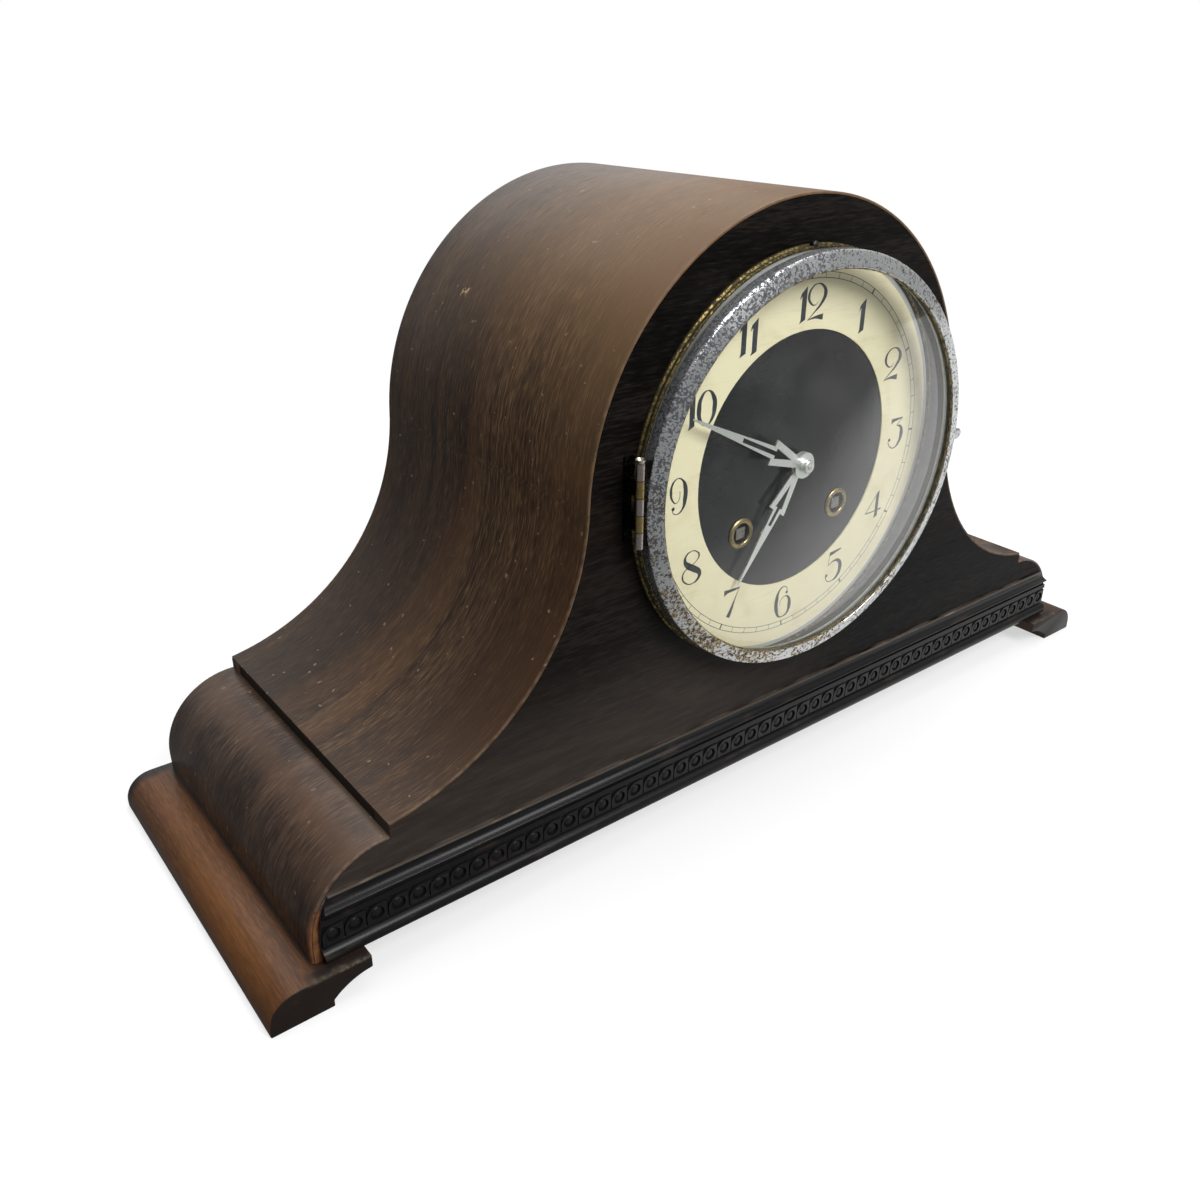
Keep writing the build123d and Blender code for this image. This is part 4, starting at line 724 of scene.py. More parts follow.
@dataclass(frozen=True)
class Metal(Finish):
    """Metal with tarnish and fine scratches.

    Attributes:
        body: Colour of the clean metal.
        tarnish: Colour of the stains.
        stain: How much of the surface is stained, from 0 to 1.
        rough: Roughness of the clean metal.
        draw: Stretch of the scratches in X, Y and Z.
        grit: Stain patches in a metre.
        scratches: Fine scratches in a metre.
    """

    body: Colour
    tarnish: Colour
    stain: float = 0.4
    rough: float = 0.3
    draw: Point = (1.0, 1.0, 1.0)
    grit: float = 160.0
    scratches: float = 2200.0

    def tint(self, graph: Graph, colour: Socket) -> Socket:
        """Local stain, none on plain metal."""
        return colour

    def shade(self, graph: Graph) -> None:
        """Mixes metal and tarnish.

        Args:
            graph: The material's graph.
        """
        place = graph.place()
        cloud = graph.noise(place, self.grit, 5.0, 0.4)
        fine = graph.noise(graph.stretch(place, self.draw), self.scratches, 2.0)
        stained = (cloud + fine * 0.25).rise(0.8 - 0.4 * self.stain, 0.95 - 0.4 * self.stain)
        graph.surface(
            {
                "Base Color": self.tint(graph, graph.blend(stained, self.body, self.tarnish)),
                "Roughness": stained * 0.25 + fine * 0.14 + (self.rough - 0.07),
                "Metallic": 1.0 - stained * 0.35,
                "Normal": graph.bump(fine - stained * 0.4, 0.00003, 0.35),
            }
        )


@dataclass(frozen=True)
class HingeMetal(Metal):
    """Metal of the bezel's hinge: knuckles bright, leaves painted black as the shade behind the knuckles.

    Attributes:
        grease: Colour of the leaves.
        axis: A point on the hinge's axis.
        leaf: Distances from that axis over which the leaves start.
    """

    grease: Colour = (0.012, 0.011, 0.009)
    axis: Point = (-0.0804, FRONT - 0.008, 0.0)
    leaf: Pair = (0.00145, 0.0016)

    def tint(self, graph: Graph, colour: Socket) -> Socket:
        """Blackens what lies outside the knuckles, as painted shade.

        Args:
            graph: The material's graph.
            colour: Colour of the metal.

        Returns:
            The colour with the leaves blackened as painted shade.
        """
        place = graph.node(
            "ShaderNodeVectorMath", {"operation": "SUBTRACT"}, {0: graph.place(), 1: self.axis}
        )
        out = (graph.part(place, "X") ** 2.0 + graph.part(place, "Y") ** 2.0) ** 0.5
        # painted shade: the leaves outside the knuckles are made black
        return graph.blend(out.rise(*self.leaf), colour, self.grease)


@dataclass(frozen=True)
class PittedChrome(Finish):
    """Old chrome plating, pitted dark on the left and worn to brass in the low left.

    Attributes:
        plate: Colour of the plating.
        pit: Colour of the pits.
        brass: Colour of the brass under it.
        side: Distances from the dial's middle over which the pits thicken to the left.
        low: Distances from the dial's middle over which the brass shows to the low left.
    """

    plate: Colour = (0.62, 0.63, 0.63)
    pit: Colour = (0.02, 0.022, 0.034)
    brass: Colour = (0.4, 0.28, 0.09)
    side: Pair = (-0.02, -0.085)
    low: Pair = (-0.03, -0.085)

    def shade(self, graph: Graph) -> None:
        """Scatters pits, blisters and brassy patches over the plating.

        Args:
            graph: The material's graph.
        """
        place = graph.from_dial()
        across = graph.part(place, "X")
        height = graph.part(place, "Z")
        spots = graph.noise(place, 1350.0, 3.0, 0.3)
        blots = graph.noise(place, 700.0, 3.0, 0.6)
        zone = graph.noise(place, 60.0, 2.0)
        side = (across - height * 0.6).rise(*self.side)
        pitted = (spots * 0.6 + blots * 0.4 + zone * 0.16 + side * 0.06).rise(0.6, 0.65)
        low = (across * 0.8 + height).rise(*self.low)
        bare = (blots + zone * 0.5 + low * 0.12).rise(0.86, 0.94)
        haze = graph.noise(place, 120.0, 5.0).rise(0.35, 0.7)
        colour = graph.blend(bare * 0.8, self.plate, self.brass)
        graph.surface(
            {
                "Base Color": graph.blend(pitted * 0.92, colour, self.pit),
                "Roughness": pitted * 0.3 + bare * 0.2 + haze * 0.1 + 0.15,
                "Metallic": 0.82 - pitted * 0.6,
                "Normal": graph.bump(blots * 0.5 - pitted, 0.00002, 0.15),
            }
        )


@dataclass(frozen=True)
class DialPaint(Finish):
    """Paint on the dial with fine scratches and stains.

    Attributes:
        body: Colour of the paint.
        stain: Colour of its stains.
        stained: How far the stains show.
        rough: Roughness.
        streak: How far the fine lines show.
        flecks: How far the speckles show.
        bare: Colour of the metal beyond the paint.
        rim: Radii over which the paint darkens towards its rim.
        edge: Radii over which the paint ends.
    """

    body: Colour
    stain: Colour
    stained: float
    rough: float
    streak: float
    flecks: float
    bare: Colour = (0.36, 0.38, 0.37)
    rim: Pair = (0.0675, 0.0758)
    edge: Pair = (0.0743, 0.0746)

    def shade(self, graph: Graph) -> None:
        """Fine level scratches, clouds and speckles.

        Args:
            graph: The material's graph.
        """
        place = graph.from_dial()
        lines = graph.noise(graph.stretch(place, (70.0, 70.0, 2600.0)), detail=3.0)
        cloud = graph.noise(place, 70.0, 5.0, 0.5)
        speck = graph.noise(place, 1500.0, 2.0).rise(0.66, 0.74)
        radius = graph.radius()
        rim = radius.rise(*self.rim)
        mark = cloud.rise(0.5, 0.75) * 0.6 + lines.rise(0.5, 0.75) * self.streak
        mark = mark + speck * self.flecks + rim * 0.4
        painted = graph.blend(mark * self.stained, self.body, self.stain)
        graph.surface(
            {
                "Base Color": graph.blend(radius.rise(*self.edge), painted, self.bare),
                "Roughness": cloud * 0.12 + (self.rough - 0.06),
                "Specular IOR Level": 0.4,
            }
        )


@dataclass(frozen=True)
class Ink(Finish):
    """Printed ink of the numerals.

    Attributes:
        body: Colour of the ink.
        thin: Colour of its thin places.
    """

    body: Colour = (0.02, 0.026, 0.034)
    thin: Colour = (0.075, 0.085, 0.09)

    def shade(self, graph: Graph) -> None:
        """Blue-black with thin places.

        Args:
            graph: The material's graph.
        """
        worn = graph.noise(graph.from_dial(), 700.0, 4.0).rise(0.5, 0.75)
        graph.surface(
            {"Base Color": graph.blend(worn * 0.7, self.body, self.thin), "Roughness": worn * 0.2 + 0.4}
        )


@dataclass(frozen=True)
class Glass(Finish):
    """Clear domed glass with a thin haze of dust.

    Attributes:
        haze: How far the dust shows.
        body: Colour of what is seen through it.
        shine: Colour of what it mirrors.
        dust: Colour of the dust.
    """

    haze: float = 0.012
    body: Colour = (0.988, 0.992, 0.988)
    shine: Colour = WHITE
    dust: Colour = (0.8, 0.8, 0.78)

    def shade(self, graph: Graph) -> None:
        """Lets light through and mirrors by its angle.

        Args:
            graph: The material's graph.
        """
        film = graph.noise(graph.from_dial(), 60.0, 5.0, 0.6).rise(0.4, 0.8)
        clear = graph.node("ShaderNodeBsdfTransparent", {}, {"Color": self.body})
        gloss = graph.node("ShaderNodeBsdfGlossy", {}, {"Color": self.shine, "Roughness": 0.03})
        dust = graph.node("ShaderNodeBsdfDiffuse", {}, {"Color": self.dust})
        facing = graph.node("ShaderNodeLayerWeight", {}, {"Blend": 0.5}, "Facing")
        angle = facing**3.0 * 0.8 + 0.02
        glazed = graph.node("ShaderNodeMixShader", {}, {0: angle, 1: clear, 2: gloss})
        graph.end(graph.node("ShaderNodeMixShader", {}, {0: film * self.haze, 1: glazed, 2: dust}))


HAT_VENEER = HatVeneer(
    "hat_walnut",
    "walnut_veneer",
    Grain.PROFILE,
    deep=(0.015, 0.0074, 0.004),
    middle=(0.058, 0.0295, 0.013),
    pale=(0.145, 0.083, 0.037),
    warm=(0.105, 0.047, 0.016),
    warmth=0.5,
    clouded=0.55,
    glint=0.2,
)
SHOULDER_VENEER = ShoulderVeneer(
    "shoulder_walnut",
    "walnut_veneer",
    Grain.PROFILE,
    deep=(0.016, 0.01, 0.0085),
    middle=(0.044, 0.026, 0.017),
    pale=(0.09, 0.054, 0.034),
    warm=(0.085, 0.046, 0.026),
    warmth=0.25,
    rough=0.34,
    glint=0.22,
)
FOOT_WOOD = FootWood(
    "foot_walnut",
    "walnut_foot",
    Grain.DEPTH,
    deep=(0.062, 0.024, 0.008),
    middle=(0.09, 0.034, 0.01),
    pale=(0.125, 0.05, 0.0145),
    warm=(0.14, 0.055, 0.014),
    clouded=0.2,
    rough=0.34,
    glint=0.2,
)
PANEL_WOOD = PanelWood(
    "panel_walnut",
    "dark_panel",
    Grain.WIDTH,
    deep=(0.0015, 0.0014, 0.0014),
    middle=(0.0045, 0.0038, 0.0034),
    pale=(0.013, 0.0105, 0.009),
    warm=(0.015, 0.0075, 0.005),
    warmth=0.3,
    glint=0.06,
    rough=0.42,
)
RAW = dict(
    deep=(0.11, 0.062, 0.032), middle=(0.22, 0.13, 0.07), pale=(0.34, 0.22, 0.125), warm=(0.28, 0.14, 0.06)
)
RAW_WIDTH = Wood("inner_wood_level", "raw_wood", Grain.WIDTH, **RAW, rough=0.65, glint=0.2)
RAW_DEPTH = Wood("inner_wood_deep", "raw_wood", Grain.DEPTH, **RAW, rough=0.65, glint=0.2)
WRAP_WOOD = WrapWood("bent_wrap_wood", "raw_wood", Grain.WIDTH, **RAW, rough=0.65, glint=0.2)
BACK_WOOD = Wood(
    "back_stained",
    "raw_wood",
    Grain.HEIGHT,
    deep=(0.03, 0.017, 0.01),
    middle=(0.075, 0.042, 0.023),
    pale=(0.15, 0.092, 0.052),
    warm=(0.13, 0.06, 0.026),
    rough=0.55,
    glint=0.25,
)
EBONISED = Ebonised("ebonised_moulding", "ebonised", 0.32, 0.18)
CARVED_EBONY = Ebonised("ebonised_carving", "ebonised", 0.36, 0.26)
CHROME = PittedChrome("pitted_chrome", "chrome")
HINGE_PLATE = HingeMetal(
    "worn_hinge_plate", "chrome", (0.5, 0.45, 0.43), (0.2, 0.14, 0.1), 0.4, 0.3, grit=900.0
)
HINGE_STEEL = Metal("hinge_pin_plate", "chrome", (0.6, 0.57, 0.5), (0.22, 0.17, 0.11), 0.35, 0.28, grit=900.0)
HINGE_BRASS = HingeMetal(
    "hinge_brass", "seat_brass", (0.42, 0.31, 0.13), (0.14, 0.1, 0.045), 0.45, 0.36, grit=900.0
)
GILT = Metal("gilt_sight_ring", "chrome", (0.36, 0.28, 0.14), (0.09, 0.07, 0.035), 0.6, 0.35, grit=500.0)
RING_GREY = Metal("dull_glass_ring", "chrome", (0.5, 0.51, 0.5), (0.3, 0.3, 0.28), 0.3, 0.5, grit=300.0)
SEAT_BRASS = Metal(
    "aged_seat_brass", "seat_brass", (0.25, 0.19, 0.07), (0.045, 0.036, 0.016), 0.75, 0.4, grit=800.0
)
DOOR_BRASS = Metal("dull_door_brass", "door_brass", (0.5, 0.36, 0.14), (0.12, 0.085, 0.04), 0.5, 0.36)
PLATE_BRASS = Metal(
    "satin_plate_brass", "plate_brass", (0.58, 0.42, 0.17), (0.5, 0.35, 0.135),
    stain=0.4, rough=0.34, draw=(1.0, 1.0, 0.08), grit=70.0,
)
STEEL = Metal("drawn_steel", "steel", (0.5, 0.5, 0.5), (0.32, 0.3, 0.28), 0.35, 0.3, (1.0, 0.06, 1.0))
ARBOR_STEEL = Metal("worn_arbor_steel", "steel", (0.34, 0.33, 0.31), (0.09, 0.08, 0.07), 0.4, 0.4, grit=900.0)
EYELET_BRASS = Metal(
    "eyelet_brass", "seat_brass", (0.42, 0.34, 0.18), (0.17, 0.13, 0.07), 0.4, 0.36, grit=900.0
)
IRON = Metal("cast_iron", "iron", (0.07, 0.07, 0.072), (0.1, 0.055, 0.035), 0.45, 0.6)
HAND_SILVER = Metal("silvered_hands", "hand_metal", (0.93, 0.96, 0.94), (0.56, 0.57, 0.53), 0.25, 0.42)
DARK_NAIL = Metal("dark_nail", "steel", (0.05, 0.045, 0.04), (0.02, 0.018, 0.016), 0.6, 0.5)
DIAL_CREAM = DialPaint(
    "cream_chapter", "dial_cream", (0.86, 0.8, 0.55), (0.52, 0.41, 0.2), 0.42, 0.42, 0.55, 0.5
)
DIAL_BLACK = DialPaint(
    "graphite_dial", "dial_black", (0.014, 0.015, 0.016), (0.04, 0.038, 0.033), 0.35, 0.24, 0.25, 0.0
)
INK = Ink("numeral_ink", "dial_black")
GLASS = Glass("domed_glass", "glass")


def circle_centre(first: Pair, second: Pair, third: Pair) -> Pair:
    """Centre of the circle through three points.

    Args:
        first: One point.
        second: Another point.
        third: A third point.

    Returns:
        The centre.
    """
    sides = Matrix(((second[0] - first[0], second[1] - first[1]), (third[0] - first[0], third[1] - first[1])))
    halves = Vector((sides[0].length_squared / 2.0, sides[1].length_squared / 2.0))
    step = sides.inverted() @ halves
    return first[0] + step.x, first[1] + step.y


def bearing(centre: Pair, point: Pair) -> float:
    """Angle of the line from a centre to a point."""
    return math.atan2(point[1] - centre[1], point[0] - centre[0])


def verts_of(geom: Iterable[BMVert | BMEdge | BMFace]) -> list[BMVert]:
    """The vertices among what an operator made."""
    return [item for item in geom if isinstance(item, BMVert)]


class Side(Enum):
    """A side of the clock, with its sign in X."""

    LEFT = -1.0
    RIGHT = 1.0


class Workpiece:
    """A mesh in the making, shaped with bmesh operators."""

    def __init__(self) -> None:
        """Starts empty."""
        self.mesh = bmesh.new()

    def chain(self, points: Iterable[Point], closed: bool = False) -> list[BMEdge]:
        """Joins points by edges.

        Args:
            points: The points in order.
            closed: Whether the last joins the first.

        Returns:
            The edges.
        """
        verts = [self.mesh.verts.new(point) for point in points]
        pairs = list(zip(verts, verts[1:]))
        if closed:
            pairs.append((verts[-1], verts[0]))
        return [self.mesh.edges.new(pair) for pair in pairs]

    def sweep(self, vert: BMVert, centre: Point, axis: Point, angle: float, steps: int) -> BMVert:
        """Draws an arc from a vertex.

        Args:
            vert: Where the arc starts.
            centre: Its centre.
            axis: The axis it turns about.
            angle: How far it turns.
            steps: Its number of edges.

        Returns:
            The vertex where it ends.
        """
        made = bmesh.ops.spin(
            self.mesh, geom=[vert], cent=centre, axis=axis, dvec=(0.0, 0.0, 0.0), angle=angle, steps=steps
        )
        return verts_of(made["geom_last"])[0]

    def reach(self, vert: BMVert, step: Point) -> BMVert:
        """Draws a straight edge from a vertex.

        Args:
            vert: Where the edge starts.
            step: From there to its far end.

        Returns:
            The vertex where it ends.
        """
        made = bmesh.ops.extrude_vert_indiv(self.mesh, verts=[vert])
        bmesh.ops.translate(self.mesh, verts=made["verts"], vec=step)
        return made["verts"][0]

    def revolve(self, geom: Sequence[BMVert | BMEdge], centre: Vector, steps: int) -> None:
        """Turns loose edges once round the depth axis.

        Args:
            geom: The edges and their vertices.
            centre: A point on the axis.
            steps: Number of steps round.
        """
        around = dict(cent=centre, axis=DEPTH_AXIS, dvec=(0.0, 0.0, 0.0), angle=math.tau)
        bmesh.ops.spin(self.mesh, geom=geom, steps=steps, use_merge=True, **around)

    def turn(
        self, profile: Iterable[Pair], centre: Vector = DIAL, closed: bool = True, steps: int = 128
    ) -> None:
        """Turns a profile about the depth axis.

        Args:
            profile: Radius and depth of each point.
            centre: A point on the axis, where the depth is zero.
            closed: Whether the profile's last point joins its first.
            steps: Number of steps round.
        """
        edges = self.chain([(centre.x + out, centre.y + deep, centre.z) for out, deep in profile], closed)
        verts = dict.fromkeys(vert for edge in edges for vert in edge.verts)
        self.revolve([*verts, *edges], centre, steps)

    def draw_out(self, step: Point) -> None:
        """Extrudes every loose edge, as a sheet.

        Args:
            step: From the edge to its copy.
        """
        loose = [edge for edge in self.mesh.edges if edge.is_wire]
        made = bmesh.ops.extrude_edge_only(self.mesh, edges=loose)
        bmesh.ops.translate(self.mesh, verts=verts_of(made["geom"]), vec=step)

    def fill_out(self, step: Point) -> None:
        """Fills the loose edges, which are one closed outline, and extrudes it as a solid.

        Args:
            step: From the outline to its copy.
        """
        outline = [edge for edge in self.mesh.edges if edge.is_wire]
        made = bmesh.ops.triangle_fill(self.mesh, edges=outline, use_beauty=True, use_dissolve=True)
        faces = [item for item in made["geom"] if isinstance(item, BMFace)]
        grown = bmesh.ops.extrude_face_region(self.mesh, geom=faces, use_keep_orig=True)
        bmesh.ops.translate(self.mesh, verts=verts_of(grown["geom"]), vec=step)

    def take(self, other: "Workpiece") -> None:
        """Adds another workpiece's mesh, which is used up.

        Args:
            other: The other workpiece.
        """
        passed = bpy.data.meshes.new("passed")
        other.mesh.to_mesh(passed)
        other.mesh.free()
        self.mesh.from_mesh(passed)
        bpy.data.meshes.remove(passed)

    def clean(self) -> None:
        """Merges doubles and turns the faces outwards."""
        bmesh.ops.remove_doubles(self.mesh, verts=self.mesh.verts[:], dist=TINY)
        bmesh.ops.recalc_face_normals(self.mesh, faces=self.mesh.faces[:])

    def ease(
        self,
        size: float,
        over: float = 30.0,
        segments: int = 2,
        test: Callable[[BMEdge], bool] | None = None,
    ) -> None:
        """Rounds sharp edges.

        Args:
            size: Width of the round.
            over: Angle in degrees from which an edge counts as sharp.
            segments: Steps in the round.
            test: Says which of the sharp edges are rounded, all of them where it is left out.
        """
        self.clean()
        limit = math.radians(over)
        sharp = [edge for edge in self.mesh.edges if edge.is_manifold and edge.calc_face_angle() > limit]
        chosen = [edge for edge in sharp if test is None or test(edge)]
        shape = dict(affect="EDGES", profile=0.5, material=-1, clamp_overlap=True)
        bmesh.ops.bevel(self.mesh, geom=chosen, offset=size, segments=segments, **shape)

    def move(self, matrix: Matrix) -> None:
        """Moves the whole mesh."""
        bmesh.ops.transform(self.mesh, matrix=matrix, verts=self.mesh.verts[:])

    def map_grain(self, along: Callable[[Vector], Pair]) -> None:
        """Writes the grain map.

        Args:
            along: Gives the place along and across the fibres for a point.
        """
        layer = self.mesh.loops.layers.uv.new(GRAIN_MAP)
        for face in self.mesh.faces:
            for loop in face.loops:
                loop[layer].uv = along(loop.vert.co)

    def done(
        self, name: str, body: str, finish: Finish, replaces: Sequence[str] = (), crease: float = 35.0
    ) -> Piece:
        """Makes the object and puts it on its body.

        Args:
            name: Its name.
            body: The body it rides on.
            finish: Its finish.
            replaces: The CAD nodes it stands for.
            crease: Angle in degrees over which an edge stays sharp.

        Returns:
            The object.
        """
        self.clean()
        mesh = bpy.data.meshes.new(name)
        self.mesh.to_mesh(mesh)
        self.mesh.free()
        mesh.shade_smooth()
        mesh.set_sharp_from_angle(angle=math.radians(crease))
        mesh.materials.append(finish.material())
        piece = bpy.data.objects.new(name, mesh)
        bpy.context.scene.collection.objects.link(piece)
        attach(piece, body)
        if replaces:
            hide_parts(*replaces)
        return piece


class Assembly:
    """A group of pieces that are made and dressed together."""

    dressing: dict[str, Finish] = {}

    def build(self) -> list[Piece]:
        """Makes the group's new pieces."""
        return []

    def dress(self) -> None:
        """Gives each CAD node of the group its finish."""
        for node, finish in self.dressing.items():
            mesh = frame["nodes"][node].data
            mesh.materials.clear()
            mesh.materials.append(finish.material())


@dataclass
class Case(Assembly):
    """The wooden case: hat, shoulders and foot rails.

    Attributes:
        hump: Radius of the hump.
        hump_z: Height of its centre.
        flare: Radius of the flares.
        flare_x: Place of their centres across the case.
        flare_z: Height of their centres.
        end_slope: Slope of the hat at its ends.
        skin: Thickness of the veneer.
        skin_ease: Width of the round on the veneer's front and back edges.
        step: Height of the hat's end over the shoulder.
        ledge: Flat part of the shoulder beside the step.
        round_share: Share of the shoulder's height that its round takes.
        foot_height: Height of the foot rails.
        foot_half: Half the width over the feet.
        foot_width: Width of a foot rail.
        foot_lip: Height of its inner lip.
        foot_step: Height of the cove over the sole.
        foot_round: Radius of its outer upper edge.
        foot_ease: Width of the round on its sharp edges.
        sole: Width of the sole.
        cove_rise: How far the cove rises over a straight line.
        foot_front: How far a rail stands in front of the case.
        foot_back: How far it stands behind.
    """

    hump: float = 0.0954
    hump_z: float = 0.1393
    flare: float = 0.0937
    flare_x: float = 0.188913
    flare_z: float = 0.1477
    end_slope: float = math.radians(8.4)
    skin: float = 0.001
    skin_ease: float = 0.0004
    step: float = 0.0049
    ledge: float = 0.0011
    round_share: float = 0.82
    foot_height: float = 0.0135
    foot_half: float = 0.225042
    foot_width: float = 0.036
    foot_lip: float = 0.005
    foot_step: float = 0.0026
    foot_round: float = 0.0106
    foot_ease: float = 0.0005
    sole: float = 0.015
    cove_rise: float = 0.0015
    foot_front: float = 0.0075
    foot_back: float = 0.0037

    dressing = {
        "front_panel": PANEL_WOOD,
        "back_panel": BACK_WOOD,
        "hat_wrap": WRAP_WOOD,
        "shoulder_left": RAW_DEPTH,
        "shoulder_right": RAW_DEPTH,
        "bottom_board": RAW_WIDTH,
        "hat_veneer": HAT_VENEER,
        "shoulder_veneers": SHOULDER_VENEER,
        "foot_left": FOOT_WOOD,
        "foot_right": FOOT_WOOD,
    }

    def build(self) -> list[Piece]:
        """Makes the veneers and the foot rails."""
        return [self.hat(), self.shoulders(), *(self.foot(side) for side in Side)]

    @property
    def hat_half(self) -> float:
        """Half the width of the hat."""
        return self.flare_x - self.flare * math.sin(self.end_slope)

    @property
    def hat_end(self) -> float:
        """Height of the hat at its ends."""
        return self.flare_z - self.flare * math.cos(self.end_slope)

    @property
    def shoulder_top(self) -> float:
        """Height of the shoulders."""
        return self.hat_end - self.step

    @property
    def shoulder_round(self) -> float:
        """Radius of the shoulders' round."""
        return self.round_share * (self.shoulder_top - self.foot_height)

    @property
    def lean(self) -> float:
        """Angle of the line from the hump's centre to a flare's."""
        return math.atan2(self.flare_z - self.hump_z, self.flare_x)

    def along(self, place: Vector) -> Pair:
        """Length along the hat from its middle, and depth.

        Args:
            place: A point on the hat.

        Returns:
            The two lengths.
        """
        side = math.copysign(1.0, place.x)
        out = abs(place.x)
        join = self.hump * (math.pi / 2 - self.lean)
        about = math.atan2(place.z - self.hump_z, out)
        if about > self.lean:
            return side * self.hump * (math.pi / 2 - about), place.y
        turned = math.atan2(self.flare_z - place.z, self.flare_x - out) + self.lean
        return side * (join + self.flare * turned), place.y

    def over_shoulder(self, place: Vector) -> Pair:
        """Length over a shoulder from the step, and depth.

        Args:
            place: A point on the shoulder.

        Returns:
            The two lengths.
        """
        side = math.copysign(1.0, place.x)
        radius = self.shoulder_round
        out = abs(place.x) - self.hat_half - self.ledge
        up = place.z - self.shoulder_top + radius
        if out < 0.0:
            return side * out, place.y
        if up < 0.0:
            return side * (radius * math.pi / 2.0 - up), place.y
        return side * radius * math.atan2(out, up), place.y

    def hat(self) -> Piece:
        """Bends the veneer over the hump and the two flares.

        Returns:
            The veneer.
        """
        work = Workpiece()
        vert = work.mesh.verts.new((-self.hat_half, FRONT, self.hat_end))
        flare_sweep = math.pi / 2 - self.end_slope - self.lean
        hump_sweep = math.pi - 2.0 * self.lean
        left = (-self.flare_x, FRONT, self.flare_z)
        right = (self.flare_x, FRONT, self.flare_z)
        vert = work.sweep(vert, left, DEPTH_AXIS, -flare_sweep, 40)
        vert = work.sweep(vert, (0.0, FRONT, self.hump_z), DEPTH_AXIS, hump_sweep, 80)
        work.sweep(vert, right, DEPTH_AXIS, -flare_sweep, 40)
        work.draw_out((0.0, BACK - FRONT, 0.0))
        self.wall(work)
        work.map_grain(self.along)
        return work.done("hat_skin", "case", HAT_VENEER, ["hat_veneer"])

    def wall(self, work: Workpiece) -> None:
        """Gives a veneer its thickness under its outer face and eases its front and back edges.

        Args:
            work: The veneer's outer face.
        """
        work.clean()
        up = max(work.mesh.faces, key=lambda face: face.calc_center_median().z)
        if up.normal.z < 0.0:
            bmesh.ops.reverse_faces(work.mesh, faces=work.mesh.faces[:])
        bmesh.ops.solidify(work.mesh, geom=work.mesh.faces[:], thickness=self.skin)
        work.ease(self.skin_ease, 60.0, 2, lambda edge: abs(edge.verts[0].co.y - edge.verts[1].co.y) < TINY)

    def shoulders(self) -> Piece:
        """Bends the veneers over the two shoulders.

        Returns:
            The two veneers.
        """
        work = Workpiece()
        low = self.shoulder_top - self.shoulder_round
        for side in Side:
            sign = side.value
            bend = (sign * (self.hat_half + self.ledge), FRONT, low)
            start = work.mesh.verts.new((sign * self.hat_half, FRONT, self.shoulder_top))
            vert = work.reach(start, (sign * self.ledge, 0.0, 0.0))
            vert = work.sweep(vert, bend, DEPTH_AXIS, sign * math.pi / 2, 20)
            work.reach(vert, (0.0, 0.0, self.foot_height - self.shoulder_top + self.shoulder_round))
        work.draw_out((0.0, BACK - FRONT, 0.0))
        self.wall(work)
        work.map_grain(self.over_shoulder)
        return work.done("shoulder_skins", "case", SHOULDER_VENEER, ["shoulder_veneers"])

    def foot(self, side: Side) -> Piece:
        """Makes a foot rail with a broad round outside and a cove inside.

        Args:
            side: Which of the two rails.

        Returns:
            The rail.
        """
        work = Workpiece()
        sign = side.value
        front = FRONT - self.foot_front
        bend = self.foot_half - self.foot_round
        low_z = self.foot_height - self.foot_round
        inner = self.foot_half - self.foot_width
        sole = self.foot_half - self.foot_height / 2.0 - self.sole
        lip = self.foot_height - self.foot_lip
        crown = ((inner + sole) / 2.0, (lip + self.foot_step) / 2.0 + self.cove_rise)
        hollow = circle_centre((inner, lip), crown, (sole, self.foot_step))
        turn = bearing(hollow, (sole, self.foot_step)) - bearing(hollow, (inner, lip))
        first = work.mesh.verts.new((sign * bend, front, self.foot_height))
        vert = work.sweep(first, (sign * bend, front, low_z), DEPTH_AXIS, sign * math.pi / 2.0, 14)
        vert = work.reach(vert, (0.0, 0.0, -low_z))
        vert = work.reach(vert, (sign * (sole - self.foot_half), 0.0, 0.0))
        vert = work.reach(vert, (0.0, 0.0, self.foot_step))
        vert = work.sweep(vert, (sign * hollow[0], front, hollow[1]), DEPTH_AXIS, sign * turn, 8)
        vert = work.reach(vert, (0.0, 0.0, self.foot_lip))
        work.mesh.edges.new((vert, first))
        work.fill_out((0.0, BACK + self.foot_back - front, 0.0))
        work.ease(self.foot_ease)
        name = side.name.lower()
        return work.done(f"foot_rail_{name}", "case", FOOT_WOOD, [f"foot_{name}"])


